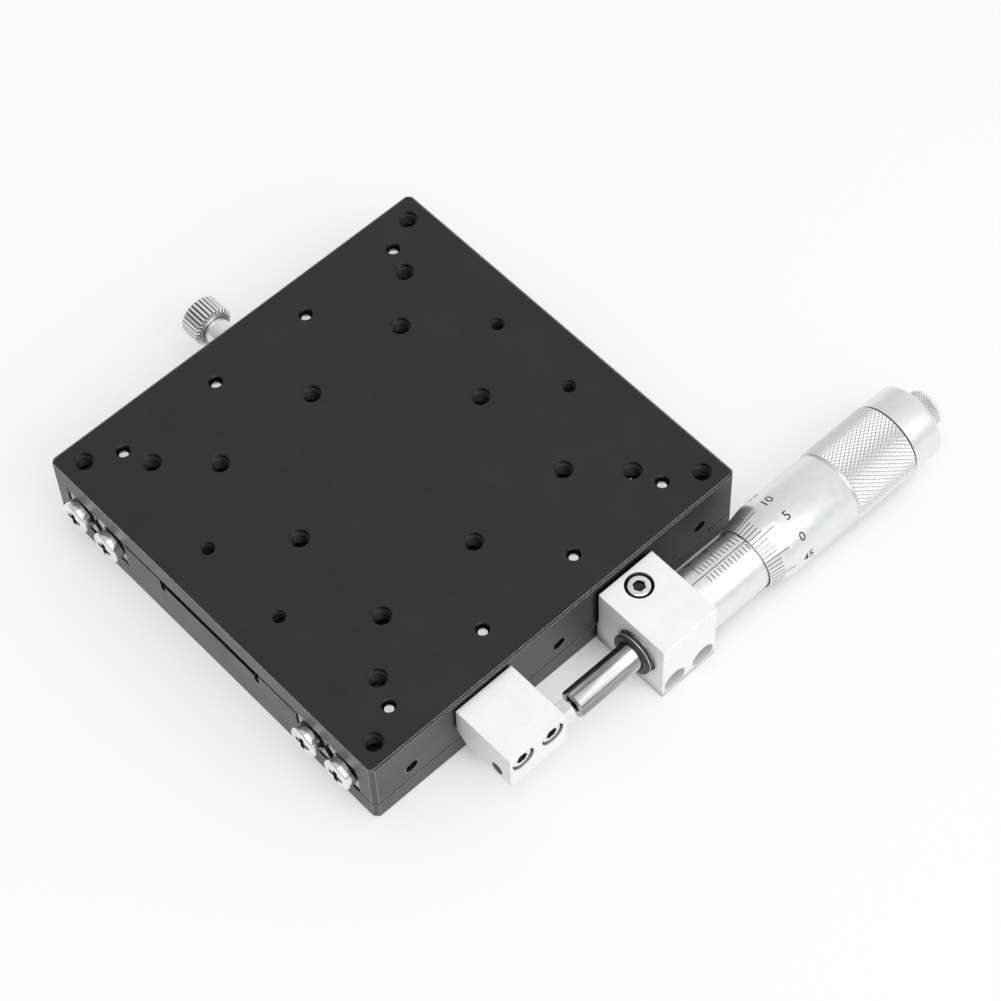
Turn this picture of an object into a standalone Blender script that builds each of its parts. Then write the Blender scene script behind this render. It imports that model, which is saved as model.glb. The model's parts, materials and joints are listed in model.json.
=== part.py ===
"""A crossed-roller linear translation stage, 100 mm square, driven by a micrometer head on one side.

+X is the direction of travel, towards the thimble. The micrometer is on the -Y side and the lock on the
+Y side. The origin is the centre of the base's underside, +Z is up, and lengths are in metres.
"""

import math

import bmesh
import bpy
from mathutils import Matrix, Vector

mm = 0.001

# Fits
FIT = 0.3 * mm  # gap left between pieces that touch on the real stage
RUNNING_GAP = 0.25 * mm  # gap where one piece slides in another
ROLLER_GAP = 0.25 * mm  # gap between a roller and its groove

# Stage plates
STAGE_LENGTH = 100.0 * mm
STAGE_WIDTH = 100.0 * mm
BASE_FLANGE = 5.1 * mm
RAIL_SEAT_STEP = 0.4 * mm
TABLE_PLATE = 5.9 * mm
TABLE_LEG = 4.5 * mm
LEG_GAP = 0.6 * mm
BLOCK_GAP = 1.1 * mm
CORNER_CHAMFER = 1.0 * mm
EDGE_CHAMFER = 0.4 * mm
RECESS_WIDTH = 31.0 * mm
RECESS_DEPTH = 1.4 * mm
RECESS_EAR_WIDTH = 1.5 * mm
RECESS_EAR_DEPTH = 1.8 * mm
SEAT_RELIEF = 0.45 * mm

# Crossed-roller rails and cages
RAIL_INSET = 0.3 * mm
RAIL_WIDTH = 8.7 * mm
RAIL_HEIGHT = 8.0 * mm
RAIL_GAP = 0.6 * mm
RAIL_CHAMFER = 0.5 * mm
RAIL_HOLE_INSET = 4.7 * mm
RAIL_HOLES = 4
GROOVE_RELIEF_WIDTH = 0.7 * mm
GROOVE_RELIEF_DEPTH = 0.35 * mm
ROLLER_DIAMETER = 2.9 * mm
ROLLER_LENGTH = 2.7 * mm
ROLLER_PITCH = 5.0 * mm
ROLLERS = 15
CAGE_THICKNESS = 0.7 * mm
CAGE_HEIGHT = 2.4 * mm
CAGE_END = 3.0 * mm

# Table holes
TAPPED_DIAMETER = 4.2 * mm
TAPPED_CHAMFER = 0.15 * mm
CORNER_HOLE_INSET = 5.0 * mm  # from the plate's edges, as for the next two
CORNER_HOLE_DEPTH = 5.0 * mm
OUTER_HOLE_INSET = 15.0 * mm
INNER_HOLE_INSET = 25.0 * mm
SMALL_TAPPED_DIAMETER = 3.1 * mm
SMALL_HOLE_INSET = 10.0 * mm
SMALL_HOLE_Y = 11.0 * mm
BASE_HOLE_DIAMETER = 5.0 * mm
BASE_HOLE_DEPTH = 8.0 * mm
BASE_HOLE_INSET = 10.0 * mm
BASE_HOLE_WALL = 4.4 * mm  # metal left between a hole and the block's side

# Socket cap screws
CAP_HEAD = 5.1 * mm
CAP_HEAD_HEIGHT = 2.6 * mm
SHANK = 2.6 * mm
SHANK_HOLE = SHANK + 2 * FIT
HEX_SOCKET = 2.5 * mm
HEX_DEPTH = 1.3 * mm
COUNTERBORE = CAP_HEAD + 2 * FIT
RAIL_SCREW_SINK = 0.6 * mm
RAIL_SCREW_TIP = 1.3 * mm  # left between a rail screw's tip and the plate's outer face

# Cross-recessed pan screws in the rail ends
PAN_HEAD = 7.3 * mm
PAN_HEAD_HEIGHT = 2.4 * mm
PAN_DOME = 1.1 * mm
PAN_SHANK = 2.8 * mm
PAN_LENGTH = 6.0 * mm
CROSS_WIDTH = 0.9 * mm
CROSS_LENGTH = 3.6 * mm
CROSS_DEPTH = 1.2 * mm

# Preload set screws in the near table leg
SET_SCREW = 2.6 * mm
SET_SCREW_INSET = 10.0 * mm
SET_SCREW_SINK = 0.8 * mm
SET_SOCKET = 1.5 * mm

# Micrometer axis
AXIS_OFFSET = 12.0 * mm
AXIS_HEIGHT = 10.0 * mm

# Moving anvil on the table
ANVIL_DROP = 2.0 * mm  # from the table's top to the anvil's
ANVIL_CENTRE = -20.8 * mm
ANVIL_LENGTH = 15.0 * mm
ANVIL_DEPTH = 15.8 * mm
ANVIL_HEIGHT = 10.0 * mm
ANVIL_CUT = 2.5 * mm
ANVIL_SCREW_SPACING = 7.9 * mm
ANVIL_SCREW_DROP = 3.15 * mm
ANVIL_COUNTERBORE_DEPTH = 3.3 * mm
PIN_HEX = 4.4 * mm
PIN_HEX_LENGTH = 4.7 * mm
PIN_SHANK = 2.6 * mm
PIN_SHANK_LENGTH = 12.0 * mm
PIN_POINT = 0.5 * mm

# Micrometer holder on the base
HOLDER_CENTRE = 17.8 * mm
HOLDER_LENGTH = 15.0 * mm
HOLDER_DEPTH = 19.1 * mm
HOLDER_HEIGHT = 18.0 * mm
HOLDER_RELIEF = 0.4 * mm
HOLDER_RELIEF_FROM = 6.4 * mm
HOLDER_SCREW_SPACING = 8.0 * mm
HOLDER_SCREW_HEIGHT = 3.2 * mm
HOLDER_SEAT = 4.0 * mm  # wall left between the screw heads and the base
HOLDER_SCREW_LENGTH = 12.0 * mm
CLAMP_SCREW_INSET = 4.4 * mm
CLAMP_COUNTERBORE = 6.2 * mm
CLAMP_SINK = 0.5 * mm
CLAMP_SCREW_LENGTH = 8.0 * mm
BLOCK_EDGE = 0.25 * mm

# Micrometer head
SPINDLE_DIAMETER = 6.35 * mm
SPINDLE_CHAMFER = 0.4 * mm
SPINDLE_TAIL = 4.0 * mm
STEM_WALL = 1.225 * mm
NOSE_WALL = 0.525 * mm
STEM_NUT = 9.8 * mm
STEM_NUT_THICKNESS = 1.9 * mm
STEM_NUT_LIP = 0.6 * mm
STEM_NUT_EDGE = 0.2 * mm
SLEEVE_DIAMETER = 13.8 * mm
SLEEVE_LENGTH = 36.0 * mm
SCALE_START = 3.4 * mm  # from the sleeve's shoulder to the zero of its scale
THIMBLE_LIP = 0.3 * mm
THIMBLE_DIAMETER = 17.5 * mm
THIMBLE_BEVEL = 6.6 * mm
THIMBLE_SMOOTH = 24.6 * mm
KNURL_RISE = 0.2 * mm
KNURL_LENGTH = 17.1 * mm
KNURL_GROOVE = 0.3 * mm
THIMBLE_WEB = 3.0 * mm
CAP_DIAMETER = 17.4 * mm
CAP_LENGTH = 8.0 * mm
CAP_FILLET = 1.2 * mm
RATCHET_DIAMETER = 8.8 * mm
RATCHET_LENGTH = 4.2 * mm
RATCHET_STUB = 4.4 * mm
RATCHET_STUB_LENGTH = 3.5 * mm
RATCHET_CHAMFER = 0.5 * mm
MICROMETER_RANGE = 25.0 * mm
READING_AT_REST = 12.07 * mm

# Lock on the +Y side
LOCK_HEIGHT = 10.0 * mm
LOCK_PLATE_LENGTH = 44.0 * mm
LOCK_PLATE_THICKNESS = 2.0 * mm
LOCK_PLATE_BOTTOM = 0.6 * mm
LOCK_PLATE_DROP = 6.2 * mm  # from the table's top to the plate's
LOCK_PLATE_CORNER = 2.0 * mm
LOCK_SCREW_X = 16.0 * mm
LOCK_SCREW_HEIGHT = 2.9 * mm
LOCK_SCREW_LENGTH = 8.0 * mm
LOCK_STUD = 3.8 * mm
LOCK_STUD_END = 1.0 * mm  # wall left between the stud's end and the leg's inner face
LOCK_SHANK = 6.15 * mm
LOCK_SHANK_LENGTH = 5.2 * mm
LOCK_HEAD = 9.6 * mm
LOCK_HEAD_LENGTH = 6.0 * mm
LOCK_CHAMFER = 0.7 * mm

# Return springs between base and table
SPRING_Y = 10.5 * mm
SPRING_DEPTH = 4.9 * mm  # from the table's underside to the springs' axis
SPRING_DIAMETER = 3.8 * mm  # to the middle of the wire
SPRING_WIRE = 0.6 * mm
SPRING_PITCH = 2.4 * mm
SPRING_TURNS = 9
HOOK_SWEEP = math.radians(300)  # how far a hook goes round its pin
SPRING_PIN = 2.4 * mm
PIN_SPAN = 48.5 * mm  # from a spring's table pin to its base pin, at rest
BASE_PIN_INSET = 16.0 * mm
PIN_ABOVE_SPRING = 1.6 * mm
PIN_SINK = 3.0 * mm
POCKET_ROOM = 0.9 * mm  # between a spring and the pocket round it
POCKET_END_ROOM = 2.6 * mm

# Facets
FINE_STEPS = 32
ROUND_STEPS = 20
HOLE_STEPS = 12
SMALL_STEPS = 10
ROLLER_STEPS = 6
ARC_STEPS = 8  # to a half circle
FILLET_STEPS = 4
CROWN_STEPS = 2  # to the rounded rim of a pan head
COIL_STEPS = 8  # to a turn of a spring
HEX_SIDES = 6

# Places that follow from the sizes above
TABLE_TRAVEL_BACK = READING_AT_REST
TABLE_TRAVEL_OUT = MICROMETER_RANGE - READING_AT_REST
RAIL_LENGTH = STAGE_LENGTH - 2 * RAIL_INSET
RAIL_HOLE_PITCH = STAGE_LENGTH / RAIL_HOLES
RAIL_BOTTOM = BASE_FLANGE + RAIL_SEAT_STEP + FIT
RAIL_TOP = RAIL_BOTTOM + RAIL_HEIGHT
RAIL_MIDDLE = (RAIL_BOTTOM + RAIL_TOP) / 2
TABLE_SEAT = RAIL_TOP + FIT
TABLE_UNDERSIDE = TABLE_SEAT + RAIL_SEAT_STEP
TABLE_TOP = TABLE_SEAT + TABLE_PLATE
LEG_BOTTOM = BASE_FLANGE + LEG_GAP
LEG_INSIDE = STAGE_WIDTH / 2 - TABLE_LEG
CHANNEL_Y = LEG_INSIDE - FIT - RAIL_WIDTH - RAIL_GAP / 2
BLOCK_SIDE = CHANNEL_Y - RAIL_GAP / 2 - RAIL_WIDTH - FIT
BLOCK_TOP = TABLE_UNDERSIDE - BLOCK_GAP
BASE_HOLE_Y = BLOCK_SIDE - BASE_HOLE_WALL - BASE_HOLE_DIAMETER / 2
TABLE_RAIL_LINE = CHANNEL_Y + RAIL_GAP / 2 + RAIL_HOLE_INSET
BASE_RAIL_LINE = CHANNEL_Y - RAIL_GAP / 2 - RAIL_HOLE_INSET
NEAR_SIDE = -STAGE_WIDTH / 2
FAR_SIDE = STAGE_WIDTH / 2
AXIS_Y = NEAR_SIDE - AXIS_OFFSET
ANVIL_BACK = NEAR_SIDE - FIT
ANVIL_FACE = ANVIL_CENTRE + ANVIL_LENGTH / 2
ANVIL_TOP = TABLE_TOP - ANVIL_DROP
ANVIL_BOTTOM = ANVIL_TOP - ANVIL_HEIGHT
SPINDLE_TIP = ANVIL_FACE + FIT + PIN_HEX_LENGTH + FIT
HOLDER_BACK = NEAR_SIDE - FIT
HOLDER_FRONT = HOLDER_BACK - HOLDER_DEPTH
HOLDER_LEFT = HOLDER_CENTRE - HOLDER_LENGTH / 2
HOLDER_RIGHT = HOLDER_CENTRE + HOLDER_LENGTH / 2
SLEEVE_BORE = SPINDLE_DIAMETER + 2 * FIT
STEM_NOSE = SLEEVE_BORE + 2 * NOSE_WALL
STEM_DIAMETER = SLEEVE_BORE + 2 * STEM_WALL
SLEEVE_START = HOLDER_RIGHT + FIT
THIMBLE_FRONT = SLEEVE_START + SCALE_START + READING_AT_REST
THIMBLE_BORE = SLEEVE_DIAMETER + 2 * RUNNING_GAP
THIMBLE_REAR = THIMBLE_FRONT + THIMBLE_SMOOTH + KNURL_LENGTH
CAP_REAR = THIMBLE_REAR + FIT + CAP_LENGTH
BASE_PIN_X = STAGE_LENGTH / 2 - BASE_PIN_INSET
TABLE_PIN_X = BASE_PIN_X - PIN_SPAN
SPRING_HEIGHT = TABLE_UNDERSIDE - SPRING_DEPTH
SPRING_RADIUS = (SPRING_DIAMETER + SPRING_WIRE) / 2
POCKET_WIDTH = 2 * (SPRING_RADIUS + POCKET_ROOM)
POCKET_FLOOR = SPRING_HEIGHT - SPRING_RADIUS - POCKET_ROOM
LOCK_PLATE_BACK = FAR_SIDE + FIT
LOCK_PLATE_FACE = LOCK_PLATE_BACK + LOCK_PLATE_THICKNESS
OVERSHOOT = 1.0 * mm  # how far a cutter passes a face that it opens
CLOSE = 0.01 * mm  # points this near each other are taken as in line
WELD = 0.0005 * mm
FLAT_ANGLE = math.radians(0.5)
SMOOTH_ANGLE = math.radians(35)

PARTS = "translation_stage"
CUTTERS = "translation_stage_cutters"

PROFILE_ALONG_X = Matrix(((0, 0, 1, 0), (1, 0, 0, 0), (0, 1, 0, 0), (0, 0, 0, 1)))


def clear_scene():
    """Starts from an empty scene with one collection for the parts and one for the cutters."""
    for obj in list(bpy.data.objects):
        bpy.data.objects.remove(obj)
    for name in (PARTS, CUTTERS):
        collection = bpy.data.collections.new(name)
        bpy.context.scene.collection.children.link(collection)


def material(name, colour, roughness, metallic):
    """A Principled material, made once."""
    made = bpy.data.materials.get(name)
    if made:
        return made
    made = bpy.data.materials.new(name)
    made.use_nodes = True
    shader = made.node_tree.nodes["Principled BSDF"]
    shader.inputs["Base Color"].default_value = (*colour, 1.0)
    shader.inputs["Roughness"].default_value = roughness
    shader.inputs["Metallic"].default_value = metallic
    made.diffuse_color = (*colour, 1.0)
    return made


def black_anodised():
    return material("black_anodised", (0.035, 0.035, 0.037), 0.48, 0.35)


def blasted_aluminium():
    return material("blasted_aluminium", (0.80, 0.81, 0.82), 0.50, 0.75)


def satin_chrome():
    return material("satin_chrome", (0.78, 0.79, 0.80), 0.28, 0.95)


def polished_steel():
    return material("polished_steel", (0.70, 0.70, 0.71), 0.14, 1.0)


def ground_steel():
    return material("ground_steel", (0.42, 0.43, 0.44), 0.32, 0.95)


def zinc_steel():
    return material("zinc_steel", (0.72, 0.72, 0.71), 0.24, 1.0)


def dark_steel():
    return material("dark_steel", (0.06, 0.06, 0.065), 0.36, 0.8)


def brass_cage():
    return material("brass_cage", (0.62, 0.47, 0.22), 0.35, 0.9)


def spring_steel():
    return material("spring_steel", (0.50, 0.50, 0.50), 0.25, 1.0)


def link(obj, collection=PARTS):
    bpy.data.collections[collection].objects.link(obj)
    return obj


def add_part(name, mesh, finish, parent=None, matrix=None):
    """Makes a named piece of the stage from a mesh."""
    obj = link(bpy.data.objects.new(name, mesh))
    if not mesh.materials:
        mesh.materials.append(finish)
    if matrix is not None:
        obj.matrix_world = matrix
    obj.parent = parent
    return obj


def add_carrier(name, location=(0, 0, 0)):
    """An empty that carries the pieces of one moving body."""
    carrier = link(bpy.data.objects.new(name, None))
    carrier.location = location
    return carrier


def placed(location, towards=(0, 0, 1)):
    """The matrix that puts a local origin at a place, with local +Z towards a direction."""
    turn = Vector(towards).to_track_quat("Z", "Y").to_matrix().to_4x4()
    return Matrix.Translation(location) @ turn


def on_axis(x):
    """The matrix of a piece on the micrometer's axis, with its local z = 0 at x."""
    return placed((x, AXIS_Y, AXIS_HEIGHT), (1, 0, 0))


def evaluated_mesh(obj):
    """The mesh of an object with its modifiers, welded, and the object itself removed."""
    bpy.context.view_layer.update()
    graph = bpy.context.evaluated_depsgraph_get()
    mesh = bpy.data.meshes.new_from_object(obj.evaluated_get(graph))
    work = bmesh.new()
    work.from_mesh(mesh)
    bmesh.ops.remove_doubles(work, verts=work.verts, dist=WELD)
    bmesh.ops.dissolve_limit(work, angle_limit=FLAT_ANGLE, verts=work.verts, edges=work.edges)
    work.to_mesh(mesh)
    work.free()
    bpy.data.objects.remove(obj)
    return mesh


def outline_mesh(points, thickness, matrix=None):
    """A flat outline given a thickness about its own plane, as a mesh."""
    curve = bpy.data.curves.new("outline", "CURVE")
    curve.dimensions = "2D"
    curve.fill_mode = "BOTH"
    curve.extrude = thickness / 2
    spline = curve.splines.new("POLY")
    spline.points.add(len(points) - 1)
    for point, (x, y) in zip(spline.points, points):
        point.co = (x, y, 0, 1)
    spline.use_cyclic_u = True
    mesh = evaluated_mesh(link(bpy.data.objects.new("outline", curve), CUTTERS))
    if matrix is not None:
        mesh.transform(matrix)
    return mesh


def turned_mesh(profile, steps, closed=False):
    """A profile of (radius, height) points turned about local Z. An open one starts and ends on it."""
    mesh = bpy.data.meshes.new("turned")
    work = bmesh.new()
    points = [work.verts.new((radius, 0, height)) for radius, height in profile]
    for start, end in zip(points, points[1:]):
        work.edges.new((start, end))
    if closed:
        work.edges.new((points[-1], points[0]))
    work.to_mesh(mesh)
    work.free()
    obj = link(bpy.data.objects.new("turned", mesh), CUTTERS)
    screw = obj.modifiers.new("turn", "SCREW")
    screw.steps = steps
    screw.render_steps = steps
    screw.use_merge_vertices = True
    screw.merge_threshold = WELD
    return evaluated_mesh(obj)


def shade_round(mesh):
    mesh.shade_smooth()
    mesh.set_sharp_from_angle(angle=SMOOTH_ANGLE)


def turned(name, profile, finish, matrix, closed=False, parent=None):
    """A finely turned piece with its axis along local Z."""
    mesh = turned_mesh(profile, FINE_STEPS, closed)
    shade_round(mesh)
    add_part(name, mesh, finish, parent, matrix)


def box_mesh(length, width, height):
    """A box about the origin."""
    work = bmesh.new()
    bmesh.ops.create_cube(work, size=1, matrix=Matrix.Diagonal((length, width, height, 1)))
    mesh = bpy.data.meshes.new("box")
    work.to_mesh(mesh)
    work.free()
    return mesh


def rod_mesh(diameter, length, steps):
    """A round rod from local z = 0 up."""
    radius = diameter / 2
    return turned_mesh([(0, length), (radius, length), (radius, 0), (0, 0)], steps)


def hole_mesh(diameter, depth, steps=HOLE_STEPS, chamfer=0.0):
    """A cutter that enters at local z = 0 and goes down to -depth, with an optional chamfered mouth."""
    radius = diameter / 2
    mouth = radius + chamfer + (OVERSHOOT if chamfer else 0)
    top = OVERSHOOT
    profile = [(0, top), (mouth, top), (radius, -chamfer), (radius, -depth), (0, -depth)]
    return turned_mesh(profile, steps)


def joined(meshes_and_places):
    """One mesh made of copies, each at its own matrix."""
    work = bmesh.new()
    for mesh, place in meshes_and_places:
        copy = mesh.copy()
        copy.transform(place)
        work.from_mesh(copy)
        bpy.data.meshes.remove(copy)
    mesh = bpy.data.meshes.new("joined")
    work.to_mesh(mesh)
    work.free()
    return mesh


def combine(obj, mesh, operation="DIFFERENCE"):
    """Cuts a mesh from an object, or joins it to the object, with a Boolean modifier."""
    tool = link(bpy.data.objects.new(f"{obj.name}_{operation.lower()}", mesh), CUTTERS)
    tool.hide_render = True
    tool.display_type = "WIRE"
    tool.matrix_world = obj.matrix_world
    boolean = obj.modifiers.new(operation.lower(), "BOOLEAN")
    boolean.operation = operation
    boolean.solver = "EXACT"
    boolean.object = tool
    return boolean


def combined_mesh(mesh, other, operation):
    """The mesh that a Boolean of two meshes gives."""
    obj = link(bpy.data.objects.new("blank", mesh), CUTTERS)
    tool = combine(obj, other, operation).object
    result = evaluated_mesh(obj)
    bpy.data.objects.remove(tool)
    return result


def chamfer_edges(mesh, width, chosen):
    """Chamfers the edges whose middles satisfy the test."""
    work = bmesh.new()
    work.from_mesh(mesh)
    edges = [edge for edge in work.edges if chosen((edge.verts[0].co + edge.verts[1].co) / 2)]
    bmesh.ops.bevel(work, geom=edges, offset=width, segments=1, affect="EDGES")
    work.to_mesh(mesh)
    work.free()


def soften(obj, width=BLOCK_EDGE):
    """A small chamfer on every sharp edge of a block."""
    bevel = obj.modifiers.new("edges", "BEVEL")
    bevel.width = width
    bevel.segments = 1
    bevel.limit_method = "ANGLE"


def stadium(length, width, centre=(0, 0)):
    """The outline of a slot with round ends, its length along the first axis."""
    points = []
    for side, start in ((1, -math.pi / 2), (-1, math.pi / 2)):
        for step in range(ARC_STEPS + 1):
            angle = start + math.pi * step / ARC_STEPS
            x = side * (length - width) / 2 + width / 2 * math.cos(angle)
            points.append((centre[0] + x, centre[1] + width / 2 * math.sin(angle)))
    return points


def near(value, target):
    return math.isclose(value, target, abs_tol=CLOSE)


def rail_hole_places():
    middle = (RAIL_HOLES - 1) / 2
    return [(index - middle) * RAIL_HOLE_PITCH for index in range(RAIL_HOLES)]


def corners(x, y):
    return [(sx * x, sy * y) for sx in (-1, 1) for sy in (-1, 1)]


def inset_corners(inset):
    """Four places on the stage, each this far in from two of its edges."""
    return corners(STAGE_LENGTH / 2 - inset, STAGE_WIDTH / 2 - inset)


def table_outline():
    """Half of the table's cross-section, in (y, z), then its mirror image."""
    half = [
        (STAGE_WIDTH / 2, TABLE_TOP),
        (STAGE_WIDTH / 2, LEG_BOTTOM),
        (LEG_INSIDE, LEG_BOTTOM),
        (LEG_INSIDE, TABLE_SEAT),
        (CHANNEL_Y, TABLE_SEAT),
        (CHANNEL_Y, TABLE_UNDERSIDE),
    ]
    return half + [(-y, z) for y, z in reversed(half)]


def base_outline():
    """Half of the base's cross-section, in (y, z), then its mirror image."""
    half = [
        (STAGE_WIDTH / 2, 0),
        (STAGE_WIDTH / 2, BASE_FLANGE),
        (CHANNEL_Y, BASE_FLANGE),
        (CHANNEL_Y, RAIL_BOTTOM - FIT),
        (BLOCK_SIDE, RAIL_BOTTOM - FIT),
        (BLOCK_SIDE, BLOCK_TOP),
    ]
    return half + [(-y, z) for y, z in reversed(half)]


def plate_blank(outline, outer_height):
    """An extruded plate with chamfered corners and a chamfer round its outer face."""
    mesh = outline_mesh(outline, STAGE_LENGTH, PROFILE_ALONG_X)
    half = STAGE_LENGTH / 2

    def at_corner(place):
        return near(abs(place.x), half) and near(abs(place.y), STAGE_WIDTH / 2)

    def on_outer_face(place):
        return near(place.z, outer_height)

    chamfer_edges(mesh, CORNER_CHAMFER, at_corner)
    chamfer_edges(mesh, EDGE_CHAMFER, on_outer_face)
    return mesh


def seat_relief(y, z):
    """A long round cutter for the relief in the corner of a rail's seat, and its place."""
    length = STAGE_LENGTH + 2 * OVERSHOOT
    return rod_mesh(2 * SEAT_RELIEF, length, ARC_STEPS), placed((-length / 2, y, z), (1, 0, 0))


def table_cutters():
    """Every hole in the table, as one cutter."""
    depth = TABLE_TOP - TABLE_UNDERSIDE + OVERSHOOT
    tapped = hole_mesh(TAPPED_DIAMETER, depth, chamfer=TAPPED_CHAMFER)
    blind = hole_mesh(TAPPED_DIAMETER, CORNER_HOLE_DEPTH, chamfer=TAPPED_CHAMFER)
    small = hole_mesh(SMALL_TAPPED_DIAMETER, depth, SMALL_STEPS)
    places = [(blind, placed((x, y, TABLE_TOP))) for x, y in inset_corners(CORNER_HOLE_INSET)]
    inner = inset_corners(INNER_HOLE_INSET)
    through = inset_corners(OUTER_HOLE_INSET) + inner
    through += [(inner[0][0], 0), (-inner[0][0], 0), (0, inner[0][1]), (0, -inner[0][1])]
    places += [(tapped, placed((x, y, TABLE_TOP))) for x, y in through]
    small_places = corners(STAGE_LENGTH / 2 - SMALL_HOLE_INSET, SMALL_HOLE_Y)
    places += [(small, placed((x, y, TABLE_TOP))) for x, y in small_places]
    for x in rail_hole_places():
        places += [(small, placed((x, side * TABLE_RAIL_LINE, TABLE_TOP))) for side in (-1, 1)]
    places += table_side_cutters()
    pin = hole_mesh(SPRING_PIN + 2 * FIT, PIN_SINK, SMALL_STEPS)
    for side in (-1, 1):
        below = (TABLE_PIN_X, side * SPRING_Y, TABLE_UNDERSIDE)
        places.append((pin, placed(below, (0, 0, -1))))
        places.append(seat_relief(side * LEG_INSIDE, TABLE_SEAT))
    return joined(places)


def table_side_cutters():
    """The holes in the table's legs: preload screws, anvil screws and the lock's stud."""
    set_hole = hole_mesh(SET_SCREW + 2 * FIT, TABLE_LEG + OVERSHOOT, SMALL_STEPS)
    anvil_hole = hole_mesh(SHANK_HOLE, TABLE_LEG - 2 * FIT, SMALL_STEPS)
    stud_hole = hole_mesh(LOCK_STUD + 2 * FIT, TABLE_LEG - FIT, SMALL_STEPS)
    places = []
    for x in set_screw_places():
        places.append((set_hole, placed((x, NEAR_SIDE, RAIL_MIDDLE), (0, -1, 0))))
    for x in anvil_screw_places():
        places.append((anvil_hole, placed((x, NEAR_SIDE, anvil_screw_height()), (0, -1, 0))))
    places.append((stud_hole, placed((0, FAR_SIDE, LOCK_HEIGHT), (0, 1, 0))))
    return places


def make_table(carrier):
    mesh = plate_blank(table_outline(), TABLE_TOP)
    table = add_part("table_plate", mesh, black_anodised(), carrier)
    combine(table, table_cutters())


def recess_cutter():
    """The shallow recess along the base's top, with a deeper groove at each of its long edges."""
    floor = BLOCK_TOP - RECESS_DEPTH
    outer = RECESS_WIDTH / 2
    inner = outer - RECESS_EAR_WIDTH
    half = [
        (outer, BLOCK_TOP + OVERSHOOT),
        (outer, floor - RECESS_EAR_DEPTH),
        (inner, floor - RECESS_EAR_DEPTH),
        (inner, floor),
    ]
    outline = half + [(-y, z) for y, z in reversed(half)]
    return outline_mesh(outline, STAGE_LENGTH + 2 * OVERSHOOT, PROFILE_ALONG_X)


def spring_pocket_cutter():
    """A round-ended pocket that one return spring and its two pins lie in."""
    low = TABLE_PIN_X - TABLE_TRAVEL_BACK - SPRING_PIN / 2 - POCKET_END_ROOM
    high = BASE_PIN_X + SPRING_PIN / 2 + POCKET_END_ROOM
    top = BLOCK_TOP + OVERSHOOT
    outline = stadium(high - low, POCKET_WIDTH)
    middle = ((low + high) / 2, 0, (POCKET_FLOOR + top) / 2)
    return outline_mesh(outline, top - POCKET_FLOOR, Matrix.Translation(middle))


def base_cutters():
    """The holes and rail reliefs in the base, as one cutter."""
    tapped = hole_mesh(BASE_HOLE_DIAMETER, BASE_HOLE_DEPTH, chamfer=TAPPED_CHAMFER)
    rail_hole = hole_mesh(SHANK_HOLE, RAIL_BOTTOM + OVERSHOOT, SMALL_STEPS)
    holder_hole = hole_mesh(SHANK_HOLE, HOLDER_SCREW_LENGTH - HOLDER_SEAT + FIT, SMALL_STEPS)
    lock_hole = hole_mesh(SHANK_HOLE, LOCK_SCREW_LENGTH, SMALL_STEPS)
    down = (0, 0, -1)
    tapped_places = corners(STAGE_LENGTH / 2 - BASE_HOLE_INSET, BASE_HOLE_Y)
    places = [(tapped, placed((x, y, 0), down)) for x, y in tapped_places]
    for side in (-1, 1):
        for x in rail_hole_places():
            places.append((rail_hole, placed((x, side * BASE_RAIL_LINE, 0), down)))
        places.append(seat_relief(side * BLOCK_SIDE, RAIL_BOTTOM - FIT))
        lock = (side * LOCK_SCREW_X, FAR_SIDE, LOCK_SCREW_HEIGHT)
        places.append((lock_hole, placed(lock, (0, 1, 0))))
    for x in holder_screw_places():
        places.append((holder_hole, placed((x, NEAR_SIDE, HOLDER_SCREW_HEIGHT), (0, -1, 0))))
    return joined(places)


def make_base():
    mesh = plate_blank(base_outline(), 0)
    base = add_part("base_plate", mesh, black_anodised())
    combine(base, base_cutters())
    combine(base, recess_cutter())
    pocket = spring_pocket_cutter()
    pin_hole = hole_mesh(SPRING_PIN + 2 * FIT, PIN_SINK, SMALL_STEPS)
    sides = [Matrix.Translation((0, side * SPRING_Y, 0)) for side in (-1, 1)]
    foot = Matrix.Translation((BASE_PIN_X, 0, POCKET_FLOOR))
    combine(base, joined([(pocket, place) for place in sides]))
    combine(base, joined([(pin_hole, place @ foot) for place in sides]))


def rail_outline():
    """A rail's cross-section: its grooved face on u = 0, its body towards +u, its middle on v = 0."""
    groove = (ROLLER_DIAMETER / 2 + ROLLER_GAP) * math.sqrt(2) - RAIL_GAP / 2
    relief = GROOVE_RELIEF_WIDTH / 2
    bottom = groove + GROOVE_RELIEF_DEPTH
    half, cut = RAIL_HEIGHT / 2, RAIL_CHAMFER
    upper = [
        (bottom, relief),
        (groove - relief, relief),
        (0, groove),
        (0, half - cut),
        (cut, half),
        (RAIL_WIDTH - cut, half),
        (RAIL_WIDTH, half - cut),
    ]
    return upper + [(u, -v) for u, v in reversed(upper)]


def rail_cutters():
    """A rail's counterbored fixing holes and its end holes, in the frame of its outline."""
    counterbore = hole_mesh(COUNTERBORE, CAP_HEAD_HEIGHT + RAIL_SCREW_SINK)
    fixing = hole_mesh(SHANK_HOLE, RAIL_HEIGHT + OVERSHOOT, SMALL_STEPS)
    fixing = combined_mesh(counterbore, fixing, "UNION")
    end = hole_mesh(PAN_SHANK + 2 * FIT, PAN_LENGTH + FIT, SMALL_STEPS)
    places = [
        (fixing, placed((x, RAIL_HOLE_INSET, RAIL_HEIGHT / 2))) for x in rail_hole_places()
    ]
    for side in (-1, 1):
        mouth = (side * RAIL_LENGTH / 2, RAIL_HOLE_INSET, 0)
        places.append((end, placed(mouth, (side, 0, 0))))
    return places


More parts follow.
